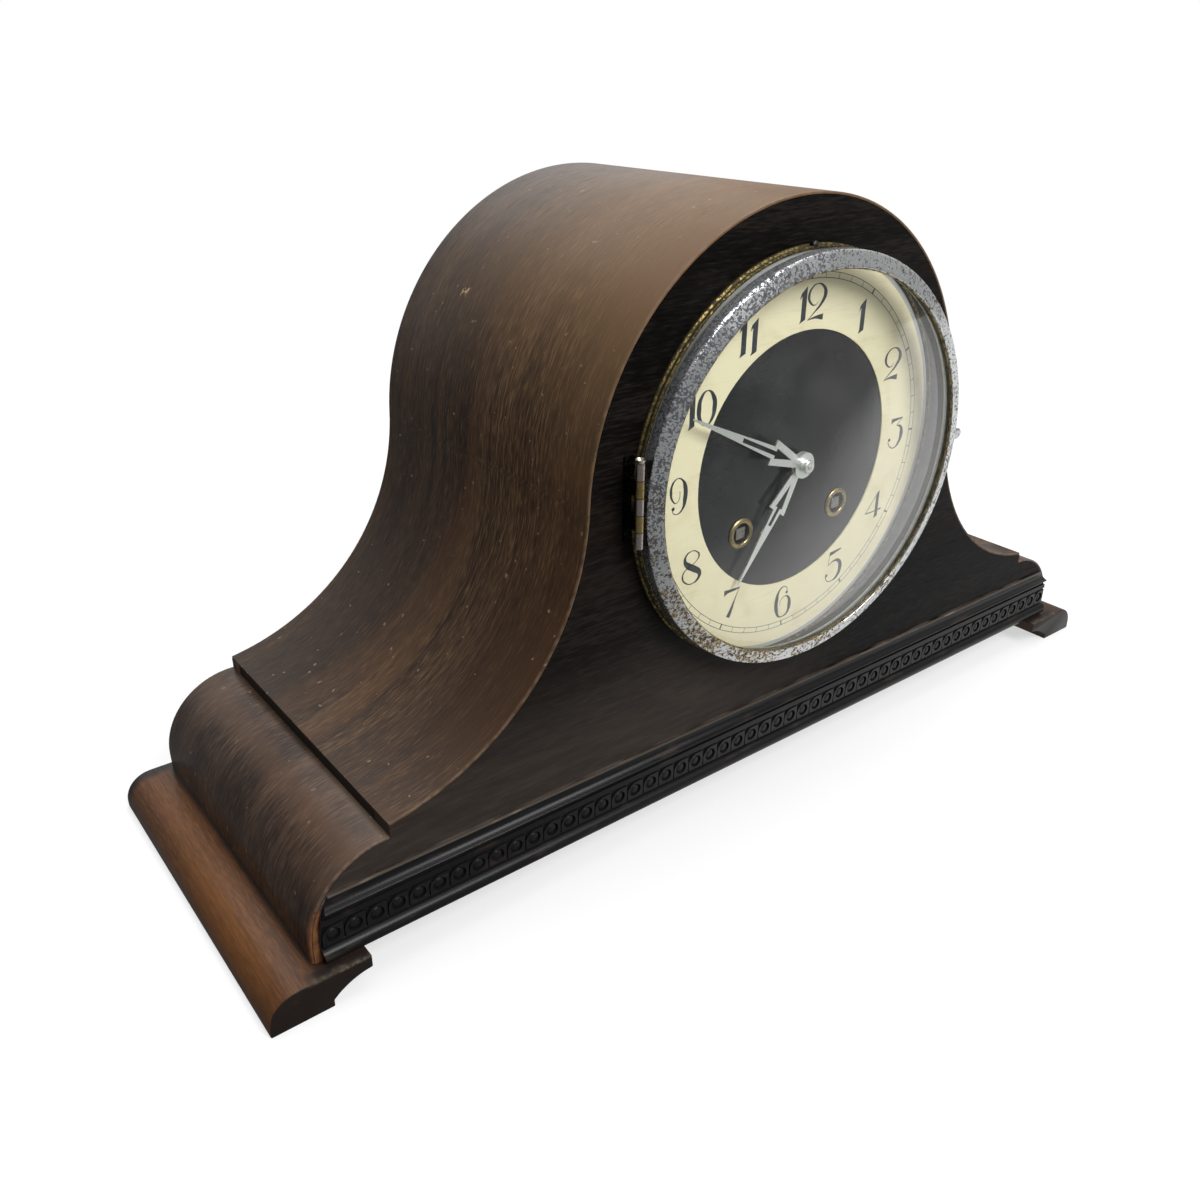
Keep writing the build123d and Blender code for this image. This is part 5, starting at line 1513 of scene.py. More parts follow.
@dataclass
class Moulding(Assembly):
    """Base moulding along the front, with the carving on its flat band.

    Attributes:
        foot_z: Height of its lower edge.
        bead: Radius of the bead at its foot.
        fascia: Heights of the plain raised strip over the carving.
        stand: How far that strip and the carved blocks stand out.
        lip_z: Height of the lip over the band.
        lip: How far the lip stands out.
        edge: Height of the lip's face and of the top edge.
        hollow: Deepest point of the cove over the lip, from the panel's face.
        crest: Upper end of the cove, from the panel's face.
        ease: Width of the round on the lip's and the crest's edges.
        inset: How far its ends stay within the shoulders' curve at the top.
        slant: How much more they do so for each metre down.
        bend: Radius of the shoulders' curve.
        bend_x: Place of that curve's centre across the case.
        bend_z: Height of that centre.
        pitch: Distance between repeats of the carving.
        repeats: Number of repeats.
        ground: Depth of the band's face.
        middle_z: Height of the band's middle.
        block: Half the width and half the height of the block in a repeat.
        clip: Where the block's upper corner is cut off, in those halves.
        hole: Radius of the hole in the block.
        egg: Radius of the button in the hole.
        egg_high: Height of the button over its width.
        rise: How far the button stands out.
        line_z: Heights of the two fine beads over and under the carving.
        line: Radius of a fine bead.
        half: Half the length of the fine beads, and of the moulding before its ends are shaped.
    """

    foot_z: float = 0.0135
    bead: float = 0.003
    fascia: Pair = (0.0284, 0.0306)
    stand: float = 0.0009
    lip_z: float = 0.033
    lip: float = 0.0032
    edge: float = 0.0008
    hollow: Pair = (-0.00131, 0.0353)
    crest: Pair = (-0.0012, 0.0377)
    ease: float = 0.0003
    inset: float = 0.0012
    slant: float = 0.1
    bend: float = 0.03
    bend_x: float = 0.1763
    bend_z: float = 0.0201
    pitch: float = 0.0078
    repeats: int = 52
    ground: float = FRONT - 0.001
    middle_z: float = 0.0239
    block: Pair = (0.0037, 0.0036)
    clip: float = 1.25
    hole: float = 0.0026
    egg: float = 0.002
    egg_high: float = 1.1
    rise: float = 0.0008
    line_z: Pair = (0.0318, 0.0199)
    line: float = 0.0005
    half: float = 0.2016

    dressing = {"front_moulding": EBONISED}

    def build(self) -> list[Piece]:
        """Makes the moulding, its carved band and the fine beads over and under it."""
        return [self.strip(), self.carving(), self.fine_beads()]

    def end(self, height: float) -> float:
        """Half the moulding's length.

        Args:
            height: Height at which it is measured.

        Returns:
            The length.
        """
        inset = self.inset + (self.crest[1] - height) * self.slant
        rise = max(0.0, height - self.bend_z)
        return self.bend_x + math.sqrt((self.bend - inset) ** 2 - rise**2)

    def strip(self) -> Piece:
        """Makes bead, flat band, lip and cove in one, cut at the ends to the shoulders' curve.

        Returns:
            The moulding.
        """
        work = Workpiece()
        first = work.mesh.verts.new((-self.half, FRONT, self.foot_z))
        vert = work.reach(first, (0.0, self.ground - FRONT, 0.0))
        middle = vert.co + Vector((0.0, 0.0, self.bead))
        vert = work.sweep(vert, middle, WIDTH_AXIS, -math.pi, 12)
        for height, step in zip(self.fascia, (-self.stand, self.stand)):
            vert = work.reach(vert, (0.0, 0.0, height - vert.co.z))
            vert = work.reach(vert, (0.0, step, 0.0))
        vert = work.reach(vert, (0.0, 0.0, self.lip_z - vert.co.z))
        vert = work.reach(vert, (0.0, FRONT - self.lip - vert.co.y, 0.0))
        vert = work.reach(vert, (0.0, 0.0, self.edge))
        low = (vert.co.y, vert.co.z)
        high = (FRONT + self.crest[0], self.crest[1])
        centre = circle_centre(low, (FRONT + self.hollow[0], self.hollow[1]), high)
        turn = bearing(centre, high) - bearing(centre, low)
        vert = work.sweep(vert, (-self.half, *centre), WIDTH_AXIS, turn, 12)
        vert = work.reach(vert, (0.0, 0.0, self.edge))
        vert = work.reach(vert, (0.0, FRONT - vert.co.y, 0.0))
        work.mesh.edges.new((vert, first))
        work.fill_out((2.0 * self.half, 0.0, 0.0))
        for vert in work.mesh.verts:
            vert.co.x = math.copysign(self.end(vert.co.z), vert.co.x)
        lowest = self.lip_z - TINY
        work.ease(self.ease, 60.0, 2, lambda edge: min(vert.co.z for vert in edge.verts) > lowest)
        return work.done("base_moulding", "case", EBONISED, ["front_moulding"])

    def fine_beads(self) -> Piece:
        """Makes the two fine beads along the edges of the band.

        Returns:
            The beads.
        """
        work = Workpiece()
        for height in self.line_z:
            start = work.mesh.verts.new((-self.half, self.ground, height - self.line))
            last = work.sweep(start, (-self.half, self.ground, height), WIDTH_AXIS, -math.pi, 6)
            work.mesh.edges.new((last, start))
            work.fill_out((2.0 * self.half, 0.0, 0.0))
        return work.done("fine_beads", "case", EBONISED)

    def repeat(self, work: Workpiece, x: float) -> None:
        """Adds one block with a round hole and a button in it, its upper left corner cut off.

        Args:
            work: Where it is added.
            x: Its place along the band.
        """
        centre = Vector((x, self.ground, self.middle_z))
        flat = Matrix.Translation(centre) @ Matrix.Diagonal((1.0, self.rise / self.egg, self.egg_high, 1.0))
        bmesh.ops.create_uvsphere(work.mesh, u_segments=10, v_segments=6, radius=self.egg, matrix=flat)
        upright = Matrix.Translation(centre) @ Matrix.Rotation(math.radians(90.0), 4, "X")
        rings = [
            bmesh.ops.create_circle(work.mesh, segments=16, radius=self.hole, matrix=upright)["verts"]
            for _ in range(2)
        ]
        wide, high = self.block
        for vert in rings[1]:
            across, up = (vert.co.x - x) / wide, (vert.co.z - self.middle_z) / high
            reach = max(abs(across), abs(up), (up - across) / self.clip)
            vert.co = centre + (vert.co - centre) / reach
        edges = dict.fromkeys(edge for ring in rings for vert in ring for edge in vert.link_edges)
        faces = bmesh.ops.bridge_loops(work.mesh, edges=list(edges))["faces"]
        raised = bmesh.ops.extrude_face_region(work.mesh, geom=faces)["geom"]
        bmesh.ops.translate(work.mesh, verts=verts_of(raised), vec=(0.0, -self.stand, 0.0))

    def carving(self) -> Piece:
        """Makes all the repeats along the band.

        Returns:
            The carving.
        """
        work = Workpiece()
        for index in range(self.repeats):
            self.repeat(work, (index - (self.repeats - 1) / 2.0) * self.pitch)
        return work.done("carved_band", "case", CARVED_EBONY)


@dataclass(frozen=True)
class Glyph:
    """One drawn figure, in pixels of its drawing, with Y down.

    Attributes:
        middle: Its centre.
        strokes: Lines of points, each with its width.
        fills: Filled outlines.
        balls: Centres and radii of round ends.
        loop: Whether the strokes close on themselves.
    """

    middle: Pair
    strokes: tuple[tuple[Point, ...], ...] = ()
    fills: tuple[tuple[Pair, ...], ...] = ()
    balls: tuple[Point, ...] = ()
    loop: bool = False


GLYPHS: dict[str, Glyph] = {
    "0": Glyph(
        (204, 152),
        (
            (
                (205, 42, 6), (262, 95, 34), (270, 160, 38), (250, 230, 22),
                (205, 262, 6), (150, 215, 28), (140, 150, 38), (155, 80, 26),
            ),
        ),
        loop=True,
    ),
    "1": Glyph(
        (0, 0),
        fills=(((27, -113), (27, 97), (-27, 119), (-16, 93), (-16, -53), (-38, -31), (-26, -70)),),
    ),
    "2": Glyph(
        (145, 168),
        (
            (
                (165, 160, 2), (135, 183, 6), (90, 165, 16), (70, 120, 24), (95, 70, 12), (145, 50, 6),
                (200, 70, 18), (225, 115, 34), (195, 175, 22), (130, 230, 9), (75, 272, 5),
            ),
            ((72, 273, 2), (140, 262, 16), (218, 265, 40)),
        ),
    ),
    "3": Glyph(
        (145, 172),
        (
            ((205, 65, 6), (178, 88, 6), (150, 112, 6)),
            (
                (150, 112, 5), (195, 128, 20), (215, 180, 40), (195, 250, 24),
                (150, 284, 8), (100, 268, 7), (70, 228, 8),
            ),
        ),
        (((85, 55), (208, 57), (208, 67), (120, 79), (85, 95)),),
        ((84, 214, 13),),
    ),
    "4": Glyph(
        (131, 167),
        (((165, 70, 6), (103, 145, 6), (42, 220, 6)), ((40, 221, 8), (150, 218, 8), (215, 212, 14))),
        (((178, 58), (180, 262), (140, 278), (147, 255), (147, 90)),),
    ),
    "5": Glyph(
        (154, 176),
        (
            ((95, 60, 5), (92, 112, 5), (90, 165, 5)),
            (
                (90, 165, 4), (140, 140, 10), (200, 150, 28), (225, 205, 40),
                (200, 275, 26), (145, 302, 8), (90, 290, 6), (68, 250, 8),
            ),
        ),
        (((95, 58), (217, 49), (217, 59), (140, 80), (95, 90)),),
        ((80, 245, 13),),
    ),
    "6": Glyph(
        (152, 166),
        (
            (
                (185, 100, 4), (185, 70, 6), (150, 45, 6), (105, 70, 16), (85, 140, 36), (90, 220, 34),
                (120, 280, 14), (155, 290, 6), (205, 270, 20), (222, 205, 36), (205, 145, 18),
                (170, 128, 6), (130, 150, 5), (120, 190, 4),
            ),
        ),
        balls=((185, 100, 12),),
    ),
    "7": Glyph(
        (160, 170),
        (((230, 66, 4), (195, 140, 10), (160, 220, 28), (135, 268, 38)),),
        (((87, 50), (190, 56), (235, 57), (232, 68), (190, 74), (120, 78), (87, 95)),),
    ),
    "8": Glyph(
        (161, 157),
        (
            (
                (222, 85, 14), (195, 50, 8), (155, 40, 5), (110, 60, 14), (98, 100, 26), (130, 140, 44),
                (185, 175, 46), (232, 215, 36), (225, 250, 22), (170, 278, 6), (115, 262, 10), (82, 215, 14),
                (95, 175, 10), (140, 148, 6), (200, 120, 6),
            ),
        ),
        loop=True,
    ),
    "9": Glyph(
        (172, 152),
        (
            (
                (130, 230, 4), (130, 255, 6), (165, 272, 6), (210, 245, 16), (228, 180, 36), (226, 100, 34),
                (200, 50, 12), (160, 33, 6), (120, 60, 16), (108, 120, 22), (125, 175, 12),
                (155, 195, 5), (180, 170, 5), (182, 120, 4),
            ),
        ),
        balls=((130, 230, 13),),
    ),
}


@dataclass
class Dial(Assembly):
    """Seat ring, painted dial, numerals, minute track and winding grommets.

    Attributes:
        numeral_circle: Radius on which the numerals stand.
        pixel: Length of a drawing pixel.
        ink: Thickness of the ink.
        chapter: Depth of the chapter ring's face from the panel's face.
        pair_gap: Distances between the two figures of ten, eleven and twelve.
        track: Radii of the minute track's two lines.
        line: Width of a fine line.
        bold: Width of every fifth stroke.
        wind_x: Place of the winding holes across the dial.
        wind_drop: How far they lie under the centre.
        eyelet: Profile of a grommet.
        eyelet_ease: Width of the round on its edges.
        seat: Radius of the seat ring.
        ridges: Profile of the seat ring, from that radius.
        ridge_ease: Width of the round on its edges.
        nail_place: Place of the nail, from the seat ring's top.
        nail_head: Profile of the nail.
    """

    numeral_circle: float = 0.058
    pixel: float = 0.001 / 18.3
    ink: float = 0.00003
    chapter: float = -0.0019
    pair_gap: tuple[float, float, float] = (0.0068, 0.0052, 0.0066)
    track: Pair = (0.0665, 0.0686)
    line: float = 0.00022
    bold: float = 0.0007
    wind_x: float = 0.026
    wind_drop: float = 0.0222
    eyelet: Pairs = (
        (0.004, -0.0006), (0.0046, -0.0006), (0.0046, -0.0014), (0.006, -0.0014), (0.006, -0.00185),
        (0.0052, -0.0023), (0.0044, -0.0023), (0.004, -0.0019),
    )
    eyelet_ease: float = 0.0002
    seat: float = 0.0776
    ridges: Pairs = (
        (-0.0096, 0.0), (0.0005, 0.0), (0.0005, -0.00099), (-0.00025, -0.0015), (0.0, -0.00201),
        (0.0, -0.00249), (-0.00025, -0.003), (-0.001, -0.003), (-0.001, -0.0006), (-0.0096, -0.0006),
    )
    ridge_ease: float = 0.00012
    nail_place: Pair = (-0.0008, 0.0002)
    nail_head: Pairs = (
        (0.0, -0.0033), (0.0009, -0.0032), (0.0014, -0.0028), (0.0014, -0.0012), (0.0, -0.0012),
    )

    dressing = {
        "bezel_seat_ring": SEAT_BRASS,
        "winding_grommets": EYELET_BRASS,
        "dial_plate": DIAL_BLACK,
        "chapter_ring": DIAL_CREAM,
    }

    def build(self) -> list[Piece]:
        """Makes the seat ring, its nail, the grommets and the printing."""
        return [self.seat_ring(), self.nail(), self.grommets(), self.numerals(), self.minute_track()]

    def seat_ring(self) -> Piece:
        """Makes the ridged ring round the dial.

        Returns:
            The ring.
        """
        work = Workpiece()
        work.turn([(self.seat + out, deep) for out, deep in self.ridges])
        work.ease(self.ridge_ease, 25.0)
        return work.done("ridged_seat_ring", "case", SEAT_BRASS, ["bezel_seat_ring"])

    def nail(self) -> Piece:
        """Makes the dark nail on the seat ring at twelve o'clock.

        Returns:
            The nail.
        """
        work = Workpiece()
        across, up = self.nail_place
        work.turn(self.nail_head, DIAL + Vector((across, 0.0, self.seat + up)), False, 16)
        return work.done("seat_nail", "case", DARK_NAIL)

    def grommets(self) -> Piece:
        """Makes the rolled brass eyelets round the winding holes.

        Returns:
            The two eyelets.
        """
        work = Workpiece()
        for side in Side:
            centre = DIAL + Vector((side.value * self.wind_x, 0.0, -self.wind_drop))
            work.turn(self.eyelet, centre, True, 48)
        work.ease(self.eyelet_ease, 25.0)
        return work.done("winding_eyelets", "case", EYELET_BRASS, ["winding_grommets"])

    def spot(self, x: float, y: float, glyph: Glyph) -> Point:
        """Place of a drawing's pixel, flat in X and Y.

        Args:
            x: The pixel's place across.
            y: Its place downwards.
            glyph: The drawing.

        Returns:
            The place, from the drawing's centre.
        """
        return (x - glyph.middle[0]) * self.pixel, (glyph.middle[1] - y) * self.pixel, 0.0

    def stroke(self, points: Sequence[Point], glyph: Glyph) -> bpy.types.Mesh:
        """Draws one pen stroke as a flat mesh.

        Args:
            points: Its points with their widths, in pixels.
            glyph: The drawing that it belongs to.

        Returns:
            The mesh, in its own X and Y.
        """
        nib = bpy.data.curves.new("nib", "CURVE")
        nib.dimensions = "3D"
        tip = nib.splines.new("POLY")
        tip.points.add(1)
        tip.points[0].co = (-0.5, 0.0, 0.0, 1.0)
        tip.points[1].co = (0.5, 0.0, 0.0, 1.0)
        nib_object = bpy.data.objects.new("nib", nib)
        curve = bpy.data.curves.new("stroke", "CURVE")
        curve.dimensions = "3D"
        curve.twist_mode = "Z_UP"
        curve.resolution_u = 8
        curve.bevel_mode = "OBJECT"
        curve.bevel_object = nib_object
        line = curve.splines.new("BEZIER")
        line.bezier_points.add(len(points) - 1)
        line.use_cyclic_u = glyph.loop
        for knot, (x, y, width) in zip(line.bezier_points, points):
            knot.co = self.spot(x, y, glyph)
            knot.handle_left_type = knot.handle_right_type = "AUTO"
            knot.radius = width * self.pixel
        drawn = bpy.data.objects.new("stroke", curve)
        bpy.context.scene.collection.objects.link(nib_object)
        bpy.context.scene.collection.objects.link(drawn)
        bpy.context.view_layer.update()
        ready = drawn.evaluated_get(bpy.context.evaluated_depsgraph_get())
        mesh = bpy.data.meshes.new_from_object(ready)
        for item in (drawn, nib_object):
            bpy.data.objects.remove(item)
        return mesh

    def figure(self, glyph: Glyph) -> Workpiece:
        """Draws one figure flat in X and Y.

        Args:
            glyph: The figure.

        Returns:
            Its mesh.
        """
        work = Workpiece()
        for points in glyph.strokes:
            mesh = self.stroke(points, glyph)
            work.mesh.from_mesh(mesh)
            bpy.data.meshes.remove(mesh)
        for outline in glyph.fills:
            edges = work.chain([self.spot(x, y, glyph) for x, y in outline], True)
            bmesh.ops.triangle_fill(work.mesh, edges=edges, use_beauty=True, normal=(0.0, 0.0, 1.0))
        for x, y, radius in glyph.balls:
            place = Matrix.Translation(self.spot(x, y, glyph))
            size = radius * self.pixel
            bmesh.ops.create_circle(work.mesh, cap_ends=True, segments=16, radius=size, matrix=place)
        for face in work.mesh.faces:
            face.normal_update()
        bmesh.ops.reverse_faces(work.mesh, faces=[face for face in work.mesh.faces if face.normal.z < 0.0])
        return work

    def numerals(self) -> Piece:
        """Draws the twelve hour numerals.

        Returns:
            The numerals.
        """
        work = Workpiece()
        upright = Matrix.Rotation(math.pi / 2.0, 4, "X")
        level = FRONT + self.chapter - self.ink
        for hour in range(1, 13):
            turn = math.radians(90.0 - 30.0 * hour)
            height = DIAL.z + self.numeral_circle * math.sin(turn)
            text = str(hour)
            gap = self.pair_gap[hour - 10] if len(text) == 2 else 0.0
            for index, digit in enumerate(text):
                shift = (index - (len(text) - 1) / 2.0) * gap
                place = Vector((self.numeral_circle * math.cos(turn) + shift, level, height))
                drawn = self.figure(GLYPHS[digit])
                drawn.move(Matrix.Translation(place) @ upright)
                work.take(drawn)
        return work.done("hour_numerals", "case", INK)

    def minute_track(self) -> Piece:
        """Draws two fine lines with sixty strokes between them.

        Returns:
            The track.
        """
        work = Workpiece()
        level = self.chapter - self.ink
        for out in self.track:
            work.turn([(out - self.line / 2.0, level), (out + self.line / 2.0, level)], closed=False)
        middle = sum(self.track) / 2.0
        length = self.track[1] - self.track[0]
        for minute in range(60):
            width = self.bold if minute % 5 == 0 else self.line
            place = (
                Matrix.Translation(DIAL + DEPTH_AXIS * level)
                @ Matrix.Rotation(math.radians(6.0 * minute), 4, "Y")
                @ Matrix.Translation((0.0, 0.0, middle))
                @ Matrix.Rotation(math.pi / 2.0, 4, "X")
                @ Matrix.Diagonal((width, length, 1.0, 1.0))
            )
            bmesh.ops.create_grid(work.mesh, x_segments=1, y_segments=1, size=0.5, matrix=place)
        return work.done("minute_track", "case", INK)


@dataclass
class Bezel(Assembly):
    """Chromed bezel with its domed glass, standing a little open.

    Attributes:
        radius: Outer radius.
        sight: Radius of the opening.
        back: Depth of its back edge.
        edge: Depth where its side meets its face.
        crown: How far the face stands out at the opening.
        sheet: Thickness of the sheet.
        flat: Where the rim's face and side are flat, from their corners.
        rim_ease: Width of the round on the rim's edges.
        tab_half: Half the width of the pull tab.
        tab_reach: How far it stands out of the rim.
        tab_drop: How far it sits under the dial's centre.
        tab_thick: Its thickness.
        tab_ease: Width of the round on its edges.
        bead: Profile of the gilt ring, from the opening's front edge.
        ajar: How far the bezel stands open, in degrees.
        hinge_x: Place of the hinge across the dial.
        hinge_deep: Depth of the hinge's axis.
        hinge_foot: Height of the hinge's lower end.
        hinge_long: Length of the hinge.
        pin: Radius of the hinge's pin.
        pin_head: Radius of the pin's flared head.
        pin_neck: Share of that radius under the head.
        pin_wall: Share of that radius that the wall of the hollow head takes.
        head_high: Height of that head.
        head_sunk: Share of that height that is hollow.
        glass_edge: Radius of the glass.
        glass_front: Depth of its front edge.
        glass_sag: Height of its dome.
        glass_thick: Thickness of the glass.
    """

    radius: float = 0.0774
    sight: float = 0.0715
    back: float = -0.0033
    edge: float = -0.0083
    crown: float = 0.0019
    sheet: float = 0.001
    flat: float = 0.0012
    rim_ease: float = 0.0007
    tab_half: float = 0.0022
    tab_reach: float = 0.006
    tab_drop: float = 0.0012
    tab_thick: float = 0.0012
    tab_ease: float = 0.0003
    bead: Pairs = ((0.0, 0.0003), (-0.0004, 0.0005), (-0.0004, 0.0009), (0.0, 0.0011))
    ajar: float = 3.1
    hinge_x: float = -0.0804
    hinge_deep: float = -0.008
    hinge_foot: float = 0.1287
    hinge_long: float = 0.03
    pin: float = 0.00068
    pin_head: float = 0.0018
    pin_neck: float = 0.7
    pin_wall: float = 0.3
    head_high: float = 0.0012
    head_sunk: float = 0.6
    glass_edge: float = 0.0745
    glass_front: float = -0.008037
    glass_sag: float = 0.009
    glass_thick: float = 0.002

    dressing = {
        "bezel_rim": CHROME,
        "bezel_glass": GLASS,
        "glass_ring": RING_GREY,
        "bezel_hinge_fixed": HINGE_BRASS,
        "bezel_hinge_moving": HINGE_PLATE,
        "bezel_hinge_pin": HINGE_STEEL,
    }

    def build(self) -> list[Piece]:
        """Makes the rim, the gilt sight ring, the glass and the hinge pin."""
        return [self.rim(), self.sight_ring(), self.glass(), self.hinge_pin()]

    @property
    def crest(self) -> float:
        """Depth of the face at the opening."""
        return self.edge - self.crown

    def hinge_pin(self) -> Piece:
        """Makes the pin with a flared and hollow head, as of an eyelet.

        Returns:
            The pin.
        """
        work = Workpiece()
        axis = Vector((self.hinge_x, FRONT + self.hinge_deep, self.hinge_foot))
        stem = Matrix.Translation(axis + HEIGHT_AXIS * (self.hinge_long / 2.0))
        cup = Matrix.Translation(axis + HEIGHT_AXIS * (self.hinge_long + self.head_high / 2.0))
        rod = dict(radius1=self.pin, radius2=self.pin, depth=self.hinge_long)
        bmesh.ops.create_cone(work.mesh, cap_ends=True, segments=20, matrix=stem, **rod)
        flare = dict(radius1=self.pin_head * self.pin_neck, radius2=self.pin_head, depth=self.head_high)
        made = bmesh.ops.create_cone(work.mesh, cap_ends=True, segments=28, matrix=cup, **flare)
        faces = [face for vert in made["verts"] for face in vert.link_faces]
        top = max(faces, key=lambda face: face.calc_center_median().z)
        wall = self.pin_head * self.pin_wall
        bmesh.ops.inset_region(work.mesh, faces=[top], thickness=wall, use_even_offset=True)
        bmesh.ops.translate(work.mesh, verts=top.verts[:], vec=(0.0, 0.0, -self.head_high * self.head_sunk))
        return work.done("flared_hinge_pin", "case", HINGE_STEEL, ["bezel_hinge_pin"])

    def open(self) -> Matrix:
        """The turn from closed to where the bezel stands.

        Returns:
            The turn about the hinge.
        """
        hinge = Vector((self.hinge_x, FRONT + self.hinge_deep, 0.0))
        turn = Matrix.Rotation(-math.radians(self.ajar), 4, "Z")
        return Matrix.Translation(hinge) @ turn @ Matrix.Translation(-hinge)

    def rim(self) -> Piece:
        """Makes the pressed rim with its pull tab.

        Returns:
            The rim.
        """
        work = Workpiece()
        inside = self.radius - self.sheet
        fall = self.flat * (self.crown / (self.radius - self.sight))
        profile = [
            (inside, self.back),
            (self.radius, self.back),
            (self.radius, self.edge + self.flat),
            (self.radius, self.edge),
            (self.radius - self.flat, self.edge - fall),
            (self.sight + self.flat, self.crest + fall),
            (self.sight, self.crest),
            (self.sight, self.crest + self.sheet),
            (inside, self.edge + self.sheet),
        ]
        work.turn(profile, steps=160)
        work.ease(self.rim_ease, 40.0, 3)
        work.take(self.tab())
        work.move(self.open())
        return work.done("chromed_rim", "bezel", CHROME, ["bezel_rim"])

    def tab(self) -> Workpiece:
        """Makes the pull tab on the right of the rim.

        Returns:
            Its mesh.
        """
        work = Workpiece()
        level = FRONT + (self.back + self.edge) / 2.0 - self.tab_thick / 2.0
        height = DIAL.z - self.tab_drop
        straight = self.tab_reach - self.tab_half
        first = work.mesh.verts.new((self.radius - self.sheet, level, height - self.tab_half))
        vert = work.reach(first, (self.sheet + straight, 0.0, 0.0))
        vert = work.sweep(vert, (self.radius + straight, level, height), DEPTH_AXIS, -math.pi, 12)
        vert = work.reach(vert, (-straight - self.sheet, 0.0, 0.0))
        work.mesh.edges.new((vert, first))
        work.fill_out((0.0, self.tab_thick, 0.0))
        work.ease(self.tab_ease)
        return work

    def sight_ring(self) -> Piece:
        """Makes the thin gilt ring inside the opening.

        Returns:
            The ring.
        """
        work = Workpiece()
        work.turn([(self.sight + out, self.crest + deep) for out, deep in self.bead], steps=160)
        work.move(self.open())
        return work.done("gilt_sight_ring", "bezel", GILT)

    def glass(self) -> Piece:
        """Makes the domed glass.

        Returns:
            The glass.
        """
        work = Workpiece()
        curve = (self.glass_edge**2 + self.glass_sag**2) / (2.0 * self.glass_sag)
        half = math.asin(self.glass_edge / curve)
        apex = DIAL + DEPTH_AXIS * (self.glass_front - self.glass_sag)
        inner = apex + DEPTH_AXIS * (curve + self.glass_thick)
        vert = work.mesh.verts.new(apex)
        vert = work.sweep(vert, apex + DEPTH_AXIS * curve, HEIGHT_AXIS, half, 24)
        vert = work.reach(vert, DEPTH_AXIS * self.glass_thick)
        work.sweep(vert, inner, HEIGHT_AXIS, -half, 24)
        work.revolve([*work.mesh.verts, *work.mesh.edges], DIAL, 96)
        work.move(self.open())
        return work.done("glass_dome", "bezel", GLASS, ["bezel_glass"])


@dataclass
class Hands(Assembly):
    """Hands and the nut that holds them.

    Attributes:
        nut: Profile of the nut.
        nut_ease: Width of the round on its edges.
    """

    nut: Pairs = (
        (0.0, -0.0096), (0.0011, -0.0096), (0.0011, -0.0092), (0.0022, -0.0092), (0.0026, -0.0087),
        (0.0026, -0.0066), (0.0, -0.0066),
    )
    nut_ease: float = 0.00018

    dressing = {"hour_hand": HAND_SILVER, "minute_hand": HAND_SILVER, "hand_nut": HAND_SILVER}

    def build(self) -> list[Piece]:
        """Makes the turned nut.

        Returns:
            The nut alone.
        """
        work = Workpiece()
        work.turn(self.nut, closed=False, steps=40)
        work.ease(self.nut_ease)
        return [work.done("turned_hand_nut", "minute", HAND_SILVER, ["hand_nut"])]


@dataclass
class Movement(Assembly):
    """The movement's wheels, plates and springs, which keep their CAD shapes."""

    dressing = {
        **{
            node: PLATE_BRASS
            for node in (
                "front_plate", "back_plate", "pillars", "pendulum_cock", "cannon_pinion", "hour_wheel",
                "minute_wheel", "time_barrel", "strike_barrel", "second_wheel", "centre_wheel", "third_wheel",
                "escape_wheel", "pin_wheel", "lock_wheel", "fly", "pendulum_bob", "rating_nut",
            )
        },
        **{
            node: STEEL
            for node in (
                "pillar_nuts", "movement_posts", "time_mainspring", "strike_mainspring", "time_click",
                "strike_click", "hammers", "anchor", "pendulum_rod", "gong_rods",
            )
        },
        "time_winding_arbor": ARBOR_STEEL,
        "strike_winding_arbor": ARBOR_STEEL,
        "gong_block": IRON,
    }


